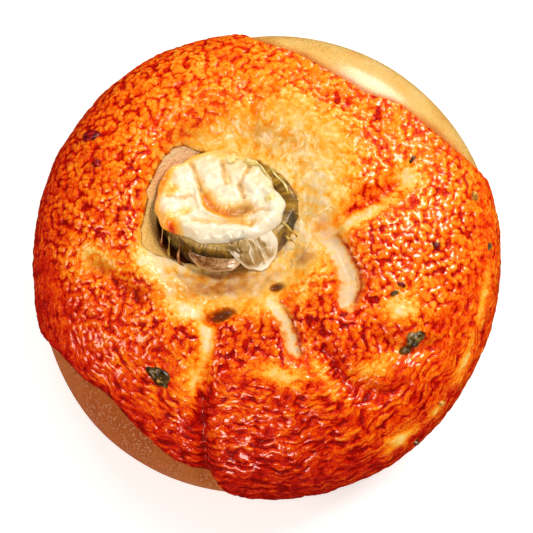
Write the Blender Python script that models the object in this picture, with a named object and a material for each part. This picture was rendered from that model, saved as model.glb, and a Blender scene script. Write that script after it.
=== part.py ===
"""A bagel baked under a blanket of cheese, with a slice of green pepper in its closed-up hole.

The dough is a low round bun. Its hole has swollen shut, which leaves a hollow in the top, off centre, and
a pucker in the flat bottom. The browned cheese is a thin skin over the dough, the slice leans in a socket
in the hollow, and melted cheese lies over the slice. The frame is +Z up, +Y away from the eater, with the
origin on the table under the middle of the bun. Sizes are in millimetres, which MM turns to metres.

The skin of the bun is handled as if it were peeled off and laid flat: a point of it is (a, b), which is
its distance over the skin from the middle of the top, along a compass direction. Near the top this is the
plan. Directions in the tables are in degrees, 0 to the right and 90 away from the eater.
"""

import math

import bmesh
import bpy
import numpy as np
from mathutils import Matrix, Vector

MM = 0.001

# Driving dimensions
DIAMETER = 108.0
HEIGHT = 42.0
CHEESE = 1.2  # thickness of the cheese blanket
GAP = 0.3  # between one solid and the next

# The bun's side view: rounded shoulders above and below its widest level
RADIUS = DIAMETER / 2 - CHEESE - GAP
WIDEST_LEVEL = 0.44 * HEIGHT
UPPER_SQUARENESS = 2.35
LOWER_SQUARENESS = 2.6
SUNK = 3.0  # how far the lower shoulder would pass the table if the bottom weren't flat
DOME_TOP = HEIGHT - CHEESE - GAP - 1.3
PUCKER_DEPTH, PUCKER_RADIUS = 7.0, 6.5
# Its plan: (direction, distance beyond RADIUS at the widest level)
OUTLINE = (
    (0, -0.2),
    (30, 1.3),
    (60, 2.1),
    (85, 1.8),
    (100, 1.2),
    (120, 2.1),
    (145, 1.3),
    (180, 0.0),
    (200, 0.4),
    (225, 1.5),
    (245, 1.1),
    (265, 0.1),
    (300, 0.1),
    (335, -0.8),
)

# The slice of pepper, which leans away from the eater
SLICE_CENTRE = (-8.8, 11.2)  # the middle of its upper face
SLICE_LEVEL = 34.6
SLICE_RADII = (15.4, 13.6)
SLICE_THICK = 8.0
SLICE_FLARE = 1.06  # how much wider its lower face is
SLICE_LEAN = math.radians(22)
SLICE_LEANS_TO = math.radians(105)
# Its side view: (share of the outline, depth below the upper face)
SLICE_SIDE = (
    (0.35, 0.9),
    (0.70, 0.8),
    (0.82, 0.2),
    (0.93, 0.0),
    (0.99, 0.7),
    (1.01, 2.4),
    (1.035, 4.6),
    (SLICE_FLARE, 6.6),
    (1.04, 7.6),
    (0.97, SLICE_THICK),
    (0.5, SLICE_THICK),
)

# The socket it stands in, and the hollow round that: (direction, level beside the socket, slope to the top)
SOCKET_CENTRE = (-8.4, 9.4)
SOCKET_RADII = (16.9, 15.2)
SOCKET_SHARES = (0.4, 0.75, 1.0)  # rings of its floor
SOCKET_LEAN = 0.25  # how far its wall leans back
HOLLOW = (
    (0, 33.6, 0.80),
    (40, 32.2, 0.45),
    (75, 30.8, 0.46),
    (110, 30.2, 0.66),
    (150, 30.6, 1.05),
    (185, 31.0, 1.25),
    (220, 31.8, 0.95),
    (265, 32.6, 0.62),
    (315, 33.2, 0.75),
)
HOLLOW_LIP = 3.5  # size of the rounding where it meets the top

# Folds and open seams in the top: (points along it, half width, depth)
FOLDS = {
    "north_east_fold": (((14, 4), (24, 10.5), (33, 18)), 2.4, 2.2),
    "south_seam": (((-12.5, -17), (-14.5, -27), (-14.5, -40), (-14.5, -53)), 2.2, 1.6),
    "north_seam": (((-3, 25), (-3, 34), (-6, 43)), 2.6, 0.7),
    "south_east_fold": (((11, -21), (17, -29), (25, -33.5)), 2.4, 1.6),
    "east_gap": (((13, 4), (16.5, -1), (19, -7), (18.5, -13)), 2.7, 2.2),
    "south_gap": (((4, -12.5), (5.3, -18), (6.2, -24)), 2.2, 1.4),
    "west_fold": (((-41, -2.5), (-36, -6), (-29, -11)), 2.0, 1.2),
    "far_east_fold": (((26, -21), (31, -23.5), (38, -22)), 2.2, 1.2),
    "north_crease": (((13, 35.5), (18, 32), (23, 31), (25, 27.5)), 2.2, 0.9),
}

# Swellings of the dough: (middle, size along, size across, turn, height)
SWELLINGS = {
    "west_lobe": ((-26.5, -7), 5.5, 4.5, 20, 1.6),
    "south_lobe": ((-1, -15.5), 6.0, 3.6, 10, 1.6),
    "south_west_lobe": ((-20, -20), 7.5, 6.0, -30, 0.9),
    "east_lobe": ((10.3, -5.5), 3.6, 7.0, 15, 1.8),
    "north_bulge": ((7, 31), 15, 7.0, -25, 1.0),
    "east_bulge": ((28, 2), 10, 9.0, 10, 1.0),
    "south_bulge": ((6, -31), 13, 7.0, -5, 1.0),
    "south_east_bulge": ((30, -13), 9, 7.0, 20, 0.8),
    "north_west_bulge": ((-32, 17), 9, 14, -25, 0.9),
}

# The blanket's outer edge, as distance over the skin: short where the dough is bare at the side
OUTER_EDGE = (
    (8, 70),
    (18, 61),
    (24, 54),
    (30, 50),
    (45, 45),
    (65, 43),
    (78, 46),
    (90, 50),
    (97, 55),
    (104, 66),
    (150, 71),
    (190, 69),
    (198, 60),
    (206, 53),
    (222, 49),
    (236, 50),
    (250, 52),
    (260, 58),
    (267, 67),
    (300, 71),
    (340, 69),
)
# Its inner edge, as distance from the socket: it shrank back on one side, where a strip of dough is bare
INNER_EDGE = ((116, 0.5), (128, 3.4), (150, 4.3), (185, 4.3), (198, 2.4), (210, 0.5), (300, 0.5))

# Bits of pepper baked into the cheese: (middle, length, width, turn)
FLECKS = {
    "fleck_south_west": ((-23.8, -28.0), 5.8, 2.8, -52),
    "fleck_east": ((34.6, -20.6), 4.2, 3.2, 60),
    "fleck_north_east": ((32.2, 20.2), 2.6, 1.6, 50),
    "fleck_north_west": ((-39.5, 28.0), 4.6, 3.0, -25),
    "fleck_far_east": ((48.5, 14.0), 3.2, 1.8, 80),
}
FLECK_THICK = 1.5

# The melted cheese over the slice: (direction, share of the slice that it covers, thickness)
MELT = (
    (-90, 1.0, 2.0),
    (-50, 0.96, 1.9),
    (-15, 0.84, 2.3),
    (20, 0.70, 1.5),
    (48, 0.80, 1.4),
    (75, 0.93, 1.2),
    (130, 1.0, 1.5),
    (180, 1.0, 1.9),
    (225, 1.0, 2.2),
)
MELT_MIDDLE = 1.3  # its thickness in the middle
# Its side view: (share of the reach, share of the thickness at the rim, share of that in the middle)
MELT_SIDE = ((0.35, 0.2, 0.8), (0.7, 0.8, 0.2), (0.86, 1.0, 0.0), (0.96, 0.75, 0.0), (1.0, 0.3, 0.0))

# Rings of the faceted skins, and points in a ring
COLUMNS, SMALL_COLUMNS = 88, 44
CHEESE_RINGS, SIDE_RINGS, BOTTOM_RINGS = 17, 6, 3
CROWDING = 1.3  # how much the cheese's rings gather near the slice

# Colour and roughness of each sub-part
FINISHES = {
    "dough": ((0.62, 0.33, 0.13), 0.55),
    "cheese_crust": ((0.60, 0.14, 0.02), 0.35),
    "pepper_slice": ((0.17, 0.13, 0.02), 0.35),
    "melted_cheese": ((0.87, 0.72, 0.46), 0.35),
}


def smooth_min(first, second, size):
    """The lower of two surfaces, with a rounded edge of this size where they meet."""
    share = np.clip(0.5 + 0.5 * (second - first) / size, 0, 1)
    return second + (first - second) * share - size * share * (1 - share)


def round_the_compass(direction, table, column=1):
    """A table's value in each direction, eased a little at its points."""
    table = np.array(table, float)
    around = np.degrees(direction) + np.linspace(-6, 6, 7)[:, None]
    return np.interp(around, table[:, 0], table[:, column], period=360).mean(axis=0)


def distance_to_line(points, line):
    """Each point's distance to a line of straight runs."""
    nearest = np.full(len(points), np.inf)
    for start, end in zip(line[:-1], line[1:]):
        run = np.subtract(end, start)
        along = np.clip((points - start) @ run / (run @ run), 0, 1)
        nearest = np.minimum(nearest, np.linalg.norm(points - start - along[:, None] * run, axis=1))
    return nearest


def compass(count=COLUMNS):
    return np.linspace(0, 2 * math.pi, count, endpoint=False)


def towards(direction):
    return np.stack([np.cos(direction), np.sin(direction)], axis=-1)


def ellipse(direction, radii):
    across, along = radii
    return across * along / np.hypot(along * np.cos(direction), across * np.sin(direction))


def side_view(samples=2000):
    """The bun's side view, from the top's middle to the bottom's: length over the skin, radius, height."""
    turn = np.linspace(0, math.pi, samples)
    upper = turn <= math.pi / 2
    power = np.where(upper, 2 / UPPER_SQUARENESS, 2 / LOWER_SQUARENESS)
    radius = RADIUS * np.sin(turn).clip(0) ** power
    rise = np.abs(np.cos(turn)) ** power
    above = WIDEST_LEVEL + (DOME_TOP - WIDEST_LEVEL) * rise
    below = (WIDEST_LEVEL - (WIDEST_LEVEL + SUNK) * rise).clip(0)
    height = np.where(upper, above, below)
    length = np.concatenate([[0], np.hypot(np.diff(radius), np.diff(height)).cumsum()])
    return length, radius, height


SIDE_LENGTH, SIDE_RADIUS, SIDE_HEIGHT = side_view()
WIDEST_LENGTH = SIDE_LENGTH[SIDE_RADIUS.argmax()]
FLAT_LENGTH = SIDE_LENGTH[SIDE_HEIGHT == 0][0]


def side_at(length):
    return np.interp(length, SIDE_LENGTH, SIDE_RADIUS), np.interp(length, SIDE_LENGTH, SIDE_HEIGHT)


def hollow_height(points):
    """Height of the hollow round the socket."""
    out = points - SOCKET_CENTRE
    direction = np.arctan2(out[:, 1], out[:, 0])
    beyond = np.linalg.norm(out, axis=1) - ellipse(direction, SOCKET_RADII)
    level = round_the_compass(direction, HOLLOW, 1)
    return level + round_the_compass(direction, HOLLOW, 2) * beyond.clip(0)


def relief(points):
    """Height of the folds and swellings above the plain surface."""
    height = np.zeros(len(points))
    for line, half_width, depth in FOLDS.values():
        height -= depth * np.exp(-((distance_to_line(points, line) / half_width) ** 2))
    for middle, along, across, turn, rise in SWELLINGS.values():
        off = points - middle
        share = (off @ towards(math.radians(turn)) / along) ** 2
        share += (off @ towards(math.radians(turn + 90)) / across) ** 2
        height += rise * np.exp(-share)
    return height


def skin(points, lift=0.0):
    """Where points of the flat-laid skin lie on the bun, or at this lift above it for a layer on top."""
    points = np.asarray(points, float).reshape(-1, 2)
    length = np.linalg.norm(points, axis=1)
    direction = np.arctan2(points[:, 1], points[:, 0])
    radius, height = side_at(length)
    radius *= 1 + round_the_compass(direction, OUTLINE) / RADIUS
    (inner, above), (outer, below) = side_at(length - 0.05), side_at(length + 0.05)
    facing = np.arctan2(above - below, outer - inner)  # 0 where it faces up, a right angle at its widest
    hollowed = smooth_min(height, hollow_height(points), HOLLOW_LIP)
    height = np.where(length < WIDEST_LENGTH - 15, hollowed, height)
    fading = np.clip((FLAT_LENGTH - length) / 8, 0, 1)
    out = relief(points) * fading + lift
    pucker = PUCKER_DEPTH * np.exp(-(((SIDE_LENGTH[-1] - length) / PUCKER_RADIUS) ** 2))
    height += out * np.cos(facing) + np.where(length > FLAT_LENGTH, pucker, 0)
    radius += out * np.sin(facing)
    return np.column_stack([radius[:, None] * towards(direction), height])


def socket_outline(beyond):
    direction = compass()
    return SOCKET_CENTRE + (ellipse(direction, SOCKET_RADII) + beyond)[:, None] * towards(direction)


def inner_edge():
    """Where the blanket ends round the slice."""
    direction = compass()
    ragged = 0.3 * np.cos(11 * direction) + 0.2 * np.cos(17 * direction + 1)
    return socket_outline(round_the_compass(direction, INNER_EDGE) + ragged.clip(0))


def outer_edge():
    """Where the blanket ends on the side of the bun."""
    direction = compass()
    reach = round_the_compass(direction, OUTER_EDGE)
    reach += 0.5 * np.cos(7 * direction + 1) + 0.4 * np.cos(13 * direction + 2) + 0.3 * np.cos(22 * direction)
    return reach[:, None] * towards(direction)


def rings_between(inner, outer, count, crowding=1.0):
    """Closed lines from one to another, both included, gathered at the inner one by crowding."""
    share = (np.linspace(0, 1, count + 1) ** crowding)[:, None, None]
    return inner * (1 - share) + outer * share


def bridge(mesh, ring, following, backwards=False):
    """Joins two rings with a band of triangles. Backwards cuts its squares along their other diagonal."""
    for here in range(len(ring)):
        beside = (here + 1) % len(ring)
        a, b, c, d = ring[here], following[here], following[beside], ring[beside]
        halves = ((a, b, d), (b, c, d)) if backwards else ((a, b, c), (a, c, d))
        for half in halves:
            mesh.faces.new(half)


def close_ring(mesh, ring, middle):
    """Closes a ring with triangles round a middle point, facing the side where the ring turns left."""
    tip = mesh.verts.new(Vector(middle) * MM)
    for here in range(len(ring)):
        mesh.faces.new((tip, ring[here], ring[(here + 1) % len(ring)]))


def add_rings(mesh, rings):
    return [[mesh.verts.new(Vector(point) * MM) for point in ring] for ring in rings]


def as_object(name, mesh, collection=None):
    """A smooth-shaded object with its own material, from a finished bmesh."""
    data = bpy.data.meshes.new(name)
    mesh.to_mesh(data)
    mesh.free()
    data.shade_smooth()
    made = bpy.data.objects.new(name, data)
    (collection or bpy.context.scene.collection).objects.link(made)
    if name in FINISHES:
        data.materials.append(finish(name))
    return made


def finish(name):
    colour, roughness = FINISHES[name]
    material = bpy.data.materials.new(name)
    material.use_nodes = True
    shader = material.node_tree.nodes["Principled BSDF"]
    shader.inputs["Base Color"].default_value = (*colour, 1)
    shader.inputs["Roughness"].default_value = roughness
    shader.inputs["Metallic"].default_value = 0
    return material


def turned_body(name, rings, top, bottom):
    """An object from rings that run from the middle of its top out, down and in to the middle below."""
    mesh = bmesh.new()
    loops = add_rings(mesh, rings)
    for ring, following in zip(loops[:-1], loops[1:]):
        bridge(mesh, ring, following)
    close_ring(mesh, loops[0], top)
    close_ring(mesh, loops[-1][::-1], bottom)
    return as_object(name, mesh)


def socket_floor():
    """The socket's floor, GAP below the slice: its rings, and its middle."""
    lean = towards(SLICE_LEANS_TO)
    under_slice = np.array(SLICE_CENTRE) - SLICE_THICK * math.sin(SLICE_LEAN) * lean
    level = SLICE_LEVEL - SLICE_THICK * math.cos(SLICE_LEAN) - GAP / math.cos(SLICE_LEAN)

    def on_floor(points):
        return np.insert(points, 2, level - math.tan(SLICE_LEAN) * (points - under_slice) @ lean, axis=-1)

    outwards = socket_outline(0) - SOCKET_CENTRE
    rings = [on_floor(SOCKET_CENTRE + share * outwards) for share in SOCKET_SHARES]
    return rings, on_floor(np.array(SOCKET_CENTRE))


def make_dough():
    """The bun, from the socket's floor out over the top, down the side and in under the bottom."""
    floor_rings, floor_middle = socket_floor()
    flat_start = FLAT_LENGTH * towards(compass())
    bottom_middle = SIDE_LENGTH[-1] * towards(compass())
    flat_rings = [
        socket_outline(SOCKET_LEAN),
        *rings_between(inner_edge(), outer_edge(), CHEESE_RINGS, CROWDING),
        *rings_between(outer_edge(), flat_start, SIDE_RINGS)[1:],
        *rings_between(flat_start, bottom_middle, BOTTOM_RINGS)[1:-1],
    ]
    rings = floor_rings + [skin(ring) for ring in flat_rings]
    turned_body("dough", rings, floor_middle, (0, 0, PUCKER_DEPTH))


def add_fleck(name, middle, length, width, turn, collection):
    """A flattened chip that lies half sunk in the top of the cheese."""
    mesh = bmesh.new()
    bmesh.ops.create_icosphere(mesh, subdivisions=1, radius=0.5)
    bmesh.ops.scale(mesh, vec=Vector((length, width, FLECK_THICK)) * MM, verts=mesh.verts)
    chip = as_object(name, mesh, collection)
    seat = Vector(skin([middle], GAP + CHEESE)[0])
    upright = (seat - Vector(skin([middle])[0])).normalized()
    ahead = Vector(skin([middle + towards(math.radians(turn))], GAP + CHEESE)[0]) - seat
    across = upright.cross(ahead).normalized()
    axes = Matrix((across.cross(upright), across, upright)).transposed()
    chip.matrix_world = Matrix.Translation(seat * MM) @ axes.to_4x4()


def unite(made, collection):
    """Fuses a collection's objects to an object, and removes them."""
    union = made.modifiers.new("union", "BOOLEAN")
    union.operation = "UNION"
    union.operand_type = "COLLECTION"
    union.collection = collection
    graph = bpy.context.evaluated_depsgraph_get()
    fused = bpy.data.meshes.new_from_object(made.evaluated_get(graph))
    made.modifiers.clear()
    made.data = fused
    for used in list(collection.objects):
        bpy.data.objects.remove(used)
    bpy.data.collections.remove(collection)


def make_cheese_crust():
    """The blanket, with the flecks of pepper fused on."""
    rings = rings_between(inner_edge(), outer_edge(), CHEESE_RINGS, CROWDING)
    mesh = bmesh.new()
    upper = add_rings(mesh, [skin(ring, GAP + CHEESE) for ring in rings])
    under = add_rings(mesh, [skin(ring, GAP) for ring in rings])
    for ring, following in zip(upper[:-1], upper[1:]):
        bridge(mesh, ring, following)
    for ring, following in zip(under[1:], under[:-1]):
        bridge(mesh, ring, following, backwards=True)
    bridge(mesh, upper[-1], under[-1])
    bridge(mesh, under[0], upper[0])
    made = as_object("cheese_crust", mesh)
    flecks = bpy.data.collections.new("flecks")
    bpy.context.scene.collection.children.link(flecks)
    for name, sizes in FLECKS.items():
        add_fleck(name, *sizes, flecks)
    unite(made, flecks)


def place_on_slice(made):
    """Moves an object whose origin is the middle of the slice's upper face to its place in the hollow."""
    made.rotation_mode = "AXIS_ANGLE"
    leans_about = (-math.sin(SLICE_LEANS_TO), math.cos(SLICE_LEANS_TO), 0)
    made.rotation_axis_angle = (SLICE_LEAN, *leans_about)
    made.location = Vector((*SLICE_CENTRE, SLICE_LEVEL)) * MM


def slice_outline():
    """The slice's upper outline: an ellipse with the pod's shallow ribs."""
    direction = compass(SMALL_COLUMNS)
    ribs = 1 + 0.020 * np.cos(4 * direction + 0.4) + 0.010 * np.cos(9 * direction)
    return (ellipse(direction, SLICE_RADII) * ribs)[:, None] * towards(direction)


def make_pepper_slice():
    """A thick slice with rounded edges, ribbed outside and a little hollow on top."""
    rings = [np.insert(slice_outline() * share, 2, -depth, axis=1) for share, depth in SLICE_SIDE]
    made = turned_body("pepper_slice", rings, (0, 0, -SLICE_SIDE[0][1]), (0, 0, -SLICE_THICK))
    place_on_slice(made)


def make_melted_cheese():
    """The uneven pool of melted cheese on the slice, which leaves one edge of it bare."""
    direction = compass(SMALL_COLUMNS)
    reach = round_the_compass(direction, MELT, 1)
    rim_thickness = round_the_compass(direction, MELT, 2)
    slice_share, slice_depth = np.transpose(SLICE_SIDE[:4])
    above, below = [], []
    for share, of_rim, of_middle in MELT_SIDE:
        spread = slice_outline() * (share * reach)[:, None]
        level = GAP - np.interp(share * reach, slice_share, slice_depth)
        thickness = of_rim * rim_thickness + of_middle * MELT_MIDDLE
        above.append(np.column_stack([spread, level + thickness]))
        below.append(np.column_stack([spread, level]))
    middle = GAP - slice_depth[0]
    top, bottom = (0, 0, middle + MELT_MIDDLE), (0, 0, middle)
    made = turned_body("melted_cheese", above + below[::-1], top, bottom)
    place_on_slice(made)


def main():
    for old in list(bpy.data.objects):
        bpy.data.objects.remove(old)
    make_dough()
    make_cheese_crust()
    make_pepper_slice()
    make_melted_cheese()


main()
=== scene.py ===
import math

import bpy
import numpy as np
from mathutils import Matrix, Vector
from mathutils.geometry import delaunay_2d_cdt


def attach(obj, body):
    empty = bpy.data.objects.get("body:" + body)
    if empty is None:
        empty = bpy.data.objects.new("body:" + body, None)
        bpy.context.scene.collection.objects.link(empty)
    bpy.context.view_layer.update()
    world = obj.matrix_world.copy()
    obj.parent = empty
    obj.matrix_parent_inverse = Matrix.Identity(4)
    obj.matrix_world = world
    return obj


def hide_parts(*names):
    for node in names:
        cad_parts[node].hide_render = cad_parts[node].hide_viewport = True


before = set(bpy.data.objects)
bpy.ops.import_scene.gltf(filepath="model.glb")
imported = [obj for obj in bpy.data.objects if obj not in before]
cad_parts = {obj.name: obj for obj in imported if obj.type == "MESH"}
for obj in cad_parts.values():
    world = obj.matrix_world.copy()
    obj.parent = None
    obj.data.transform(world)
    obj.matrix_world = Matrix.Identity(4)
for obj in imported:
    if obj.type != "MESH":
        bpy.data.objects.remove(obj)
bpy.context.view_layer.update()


# The bun -----------------------------------------------------------------------------------------------
# A low round of baked dough whose hole has swollen shut. It is bare at two sides, glossy and golden away
# from the eater and dull brown near them, in the slots between the lobes, and underneath. Its skin is
# handled as if peeled off and laid flat: (a, b) is a distance over the skin from the middle of the top.

MM = 0.001
DIAMETER = 108.0
HEIGHT = 42.0
CHEESE = 1.2  # thickness of the cheese blanket
GAP = 0.3  # between one piece and the next
RADIUS = DIAMETER / 2 - CHEESE - GAP
WIDEST_LEVEL = 0.44 * HEIGHT
UPPER_SQUARENESS, LOWER_SQUARENESS = 2.35, 2.6
SUNK = 3.0
DOME_TOP = HEIGHT - CHEESE - GAP - 1.3
PUCKER_DEPTH, PUCKER_RADIUS = 7.0, 6.5
# The plan: (direction in degrees, distance beyond RADIUS at the widest level)
OUTLINE = (
    (0, -0.2), (30, 1.3), (60, 2.1), (85, 1.8), (100, 1.2), (120, 2.1), (145, 1.3),
    (180, 0.0), (200, 0.4), (225, 1.5), (245, 1.1), (265, 0.1), (300, 0.1), (335, -0.8),
)
# The slice of pepper and its socket
SLICE_CENTRE, SLICE_LEVEL = (-8.8, 11.2), 34.6
SLICE_RADII, SLICE_THICK = (15.4, 13.6), 8.0
SLICE_LEAN, SLICE_LEANS_TO = math.radians(22), math.radians(105)
SOCKET_CENTRE, SOCKET_RADII = (-8.4, 9.4), (16.9, 15.2)
# The hollow round the socket: (direction, level beside the socket, slope up to the top)
HOLLOW = (
    (0, 33.6, 0.80), (40, 32.2, 0.45), (75, 30.8, 0.46), (110, 30.2, 0.66), (150, 30.6, 1.05),
    (185, 31.0, 1.25), (220, 31.8, 0.95), (265, 32.6, 0.62), (315, 33.2, 0.75),
)
HOLLOW_LIP = 3.5
# Folds and seams: (points along it, half width, depth)
FOLDS = {
    "north_east_fold": (((12, 4.3), (18, 7.9), (25, 12), (30, 16)), 2.2, 2.4),
    "south_seam": (((-12.5, -17), (-14.5, -27), (-14.5, -40), (-14.5, -53)), 2.2, 1.6),
    "north_seam": (((-3, 25), (-3, 34), (-6, 43)), 2.6, 0.7),
    "south_east_fold": (((11, -21), (17, -29), (25, -33.5)), 2.4, 1.6),
    "east_gap": (((13, 4), (16.5, -1), (19, -7), (18.5, -13)), 2.6, 2.6),
    "south_gap": (((4, -12.5), (5.3, -18), (6.2, -24)), 2.1, 1.8),
    "west_fold": (((-41, -2.5), (-36, -6), (-29, -11)), 2.0, 1.2),
    "far_east_fold": (((26, -21), (31, -23.5), (38, -22)), 2.2, 1.2),
    "north_crease": (((13, 35.5), (18, 32), (23, 31), (25, 27.5)), 2.2, 0.9),
}
# Swellings: (middle, size along, size across, turn, height)
SWELLINGS = {
    "west_lobe": ((-26.5, -7), 5.5, 4.5, 20, 1.6),
    "south_lobe": ((-1, -15.5), 6.0, 3.6, 10, 1.6),
    "south_west_lobe": ((-20, -20), 7.5, 6.0, -30, 0.9),
    "east_lobe": ((10.3, -5.5), 3.6, 7.0, 15, 1.8),
    "north_bulge": ((7, 31), 15, 7.0, -25, 1.0),
    "east_bulge": ((28, 2), 10, 9.0, 10, 1.0),
    "south_bulge": ((6, -31), 13, 7.0, -5, 1.0),
    "south_east_bulge": ((30, -13), 9, 7.0, 20, 0.8),
    "north_west_bulge": ((-32, 17), 9, 14, -25, 0.9),
    "cream_bulge": ((-12.5, -11.4), 4.5, 2.2, 12, 1.1),
}
# Holes between the lobes: (middle, size along, size across, turn, depth)
PITS = {
    "south_cavity": ((-10.0, -15.2), 3.4, 1.15, 20, 2.4),
    "slot_hole": ((2.0, -8.9), 1.7, 0.8, 16, 1.8),
}
# Where the blanket of cheese ends: over the skin outside, and beyond the socket inside
OUTER_EDGE = (
    (8, 70), (18, 61), (24, 54), (30, 50), (45, 45), (65, 43), (78, 46), (90, 50), (97, 55), (104, 66),
    (150, 71), (190, 69), (198, 60), (206, 53), (222, 49), (236, 50), (250, 52), (260, 58), (267, 67),
    (300, 71), (340, 69),
)
INNER_EDGE = (
    (0, -2.6), (40, -3.0), (60, -3.0), (80, -2.8), (104, -2.2), (114, -0.9), (121, 1.5), (129, 2.5),
    (138, 2.8), (147, 2.2), (160, 1.7), (171, 1.4), (182, 1.9), (191, 2.8), (199, 4.4), (205, 5.2),
    (211, 3.4), (219, 0.8), (228, -1.2), (245, -2.0), (280, -2.4), (320, -2.4),
)
# The lip of bare dough beside the slice: (direction, beyond the socket)
SOCKET_LIP = ((100, 0.25), (116, -0.5), (135, -0.9), (175, -0.9), (195, -0.2), (210, 0.25))
# How far the painted shade in the gap beside the slice reaches over the dough: (direction, beyond the socket)
SOCKET_SHADE = ((0, 0.3), (90, 0.05), (165, 0.05), (180, 0.3), (200, 2.0), (225, 2.0), (250, 0.6), (300, 0.3))


def smooth_min(first, second, size):
    share = np.clip(0.5 + 0.5 * (second - first) / size, 0, 1)
    return second + (first - second) * share - size * share * (1 - share)


def ease(value, low, high):
    """0 below low, 1 above high, and smooth between them."""
    share = np.clip((value - low) / (high - low), 0, 1)
    return share * share * (3 - 2 * share)


def round_the_compass(direction, table, column=1):
    """A table's value in each direction, eased a little at its points."""
    table = np.array(table, float)
    around = np.degrees(direction) + np.linspace(-6, 6, 7)[:, None]
    return np.interp(around, table[:, 0], table[:, column], period=360).mean(axis=0)


def distance_to_line(points, line):
    nearest = np.full(len(points), np.inf)
    for start, end in zip(line[:-1], line[1:]):
        run = np.subtract(end, start)
        along = np.clip((points - start) @ run / (run @ run), 0, 1)
        nearest = np.minimum(nearest, np.linalg.norm(points - start - along[:, None] * run, axis=1))
    return nearest


def towards(direction):
    return np.stack([np.cos(direction), np.sin(direction)], axis=-1)


def polar(points, centre=(0, 0)):
    out = points - np.asarray(centre, float)
    return np.arctan2(out[:, 1], out[:, 0]), np.linalg.norm(out, axis=1)


def ellipse(direction, radii):
    across, along = radii
    return across * along / np.hypot(along * np.cos(direction), across * np.sin(direction))


def spot(points, middle, along, across, turn):
    """1 in the middle of an oval spot, fading out of it."""
    off = points - middle
    share = (off @ towards(math.radians(turn)) / along) ** 2
    share += (off @ towards(math.radians(turn + 90)) / across) ** 2
    return np.exp(-share)


def with_spots(values, points, table):
    """Values with a table's spots added: (middle, size along, size across, turn, amount) each."""
    return sum((amount * spot(points, *oval) for *oval, amount in table.values()), values)


def near_line(points, line, half_width):
    """1 on a line, fading beside it."""
    return np.exp(-((distance_to_line(points, line) / half_width) ** 2))


def with_lines(values, points, table, sign=1):
    """Values with a table's lines added, or taken off: (points along it, half width, amount) each."""
    rows = table.values()
    return sum((sign * amount * near_line(points, line, wide) for line, wide, amount in rows), values)


def side_view(samples=2000):
    turn = np.linspace(0, math.pi, samples)
    upper = turn <= math.pi / 2
    power = np.where(upper, 2 / UPPER_SQUARENESS, 2 / LOWER_SQUARENESS)
    radius = RADIUS * np.sin(turn).clip(0) ** power
    rise = np.abs(np.cos(turn)) ** power
    above = WIDEST_LEVEL + (DOME_TOP - WIDEST_LEVEL) * rise
    below = (WIDEST_LEVEL - (WIDEST_LEVEL + SUNK) * rise).clip(0)
    height = np.where(upper, above, below)
    length = np.concatenate([[0], np.hypot(np.diff(radius), np.diff(height)).cumsum()])
    return length, radius, height


SIDE_LENGTH, SIDE_RADIUS, SIDE_HEIGHT = side_view()
WIDEST_LENGTH = SIDE_LENGTH[SIDE_RADIUS.argmax()]
FLAT_LENGTH = SIDE_LENGTH[SIDE_HEIGHT == 0][0]


def side_at(length):
    return np.interp(length, SIDE_LENGTH, SIDE_RADIUS), np.interp(length, SIDE_LENGTH, SIDE_HEIGHT)


def beyond_socket(points):
    direction, distance = polar(points, SOCKET_CENTRE)
    return direction, distance - ellipse(direction, SOCKET_RADII)


def hollow_height(points):
    direction, beyond = beyond_socket(points)
    level = round_the_compass(direction, HOLLOW, 1)
    return level + round_the_compass(direction, HOLLOW, 2) * beyond.clip(0)


def folds_and_swellings(points):
    height = with_spots(with_lines(np.zeros(len(points)), points, FOLDS, -1), points, SWELLINGS)
    for *oval, depth in PITS.values():
        height -= depth * ease(spot(points, *oval), 0.05, 0.85)
    return height


HOLLOW_REACH = WIDEST_LENGTH - 15  # how far over the skin the hollow can reach
SMOOTH_FOOT = 8  # folds and swellings end within this distance of the flat face
STEP = 0.05  # half the step over which the skin's slope is taken


def skin(points, lift=0.0):
    """Where points of the flat-laid skin lie on the bun, in mm, or at this lift above it."""
    direction, length = polar(points)
    radius, height = side_at(length)
    radius *= 1 + round_the_compass(direction, OUTLINE) / RADIUS
    (inner, above), (outer, below) = side_at(length - STEP), side_at(length + STEP)
    facing = np.arctan2(above - below, outer - inner)
    hollowed = smooth_min(height, hollow_height(points), HOLLOW_LIP)
    height = np.where(length < HOLLOW_REACH, hollowed, height)
    out = folds_and_swellings(points) * np.clip((FLAT_LENGTH - length) / SMOOTH_FOOT, 0, 1) + lift
    pucker = PUCKER_DEPTH * np.exp(-(((SIDE_LENGTH[-1] - length) / PUCKER_RADIUS) ** 2))
    height += out * np.cos(facing) + np.where(length > FLAT_LENGTH, pucker, 0)
    radius += out * np.sin(facing)
    return np.column_stack([radius[:, None] * towards(direction), height])


def compass(count):
    return np.linspace(0, 2 * math.pi, count, endpoint=False)


def socket_outline(beyond, count):
    direction = compass(count)
    return SOCKET_CENTRE + (ellipse(direction, SOCKET_RADII) + beyond)[:, None] * towards(direction)


def inner_edge(count):
    direction = compass(count)
    ragged = 0.3 * np.cos(11 * direction) + 0.2 * np.cos(17 * direction + 1) + 0.12 * np.cos(41 * direction)
    return socket_outline(round_the_compass(direction, INNER_EDGE) + ragged.clip(-0.05), count)


def outer_reach(direction):
    ragged = 0.5 * np.cos(7 * direction + 1) + 0.4 * np.cos(13 * direction + 2)
    return round_the_compass(direction, OUTER_EDGE) + ragged + 0.3 * np.cos(22 * direction)


class Field:
    """An output of a node: the first, or the one named. Arithmetic on fields adds nodes to their tree."""

    def __init__(self, node, output=0):
        self.node, self.output = node, output

    def __getitem__(self, output):
        return Field(self.node, output)

    def __add__(self, other):
        return calc("ADD", self, other)

    def __sub__(self, other):
        return calc("SUBTRACT", self, other)

    def __rsub__(self, other):
        return calc("SUBTRACT", other, self)

    def __mul__(self, other):
        return calc("MULTIPLY", self, other)


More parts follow.
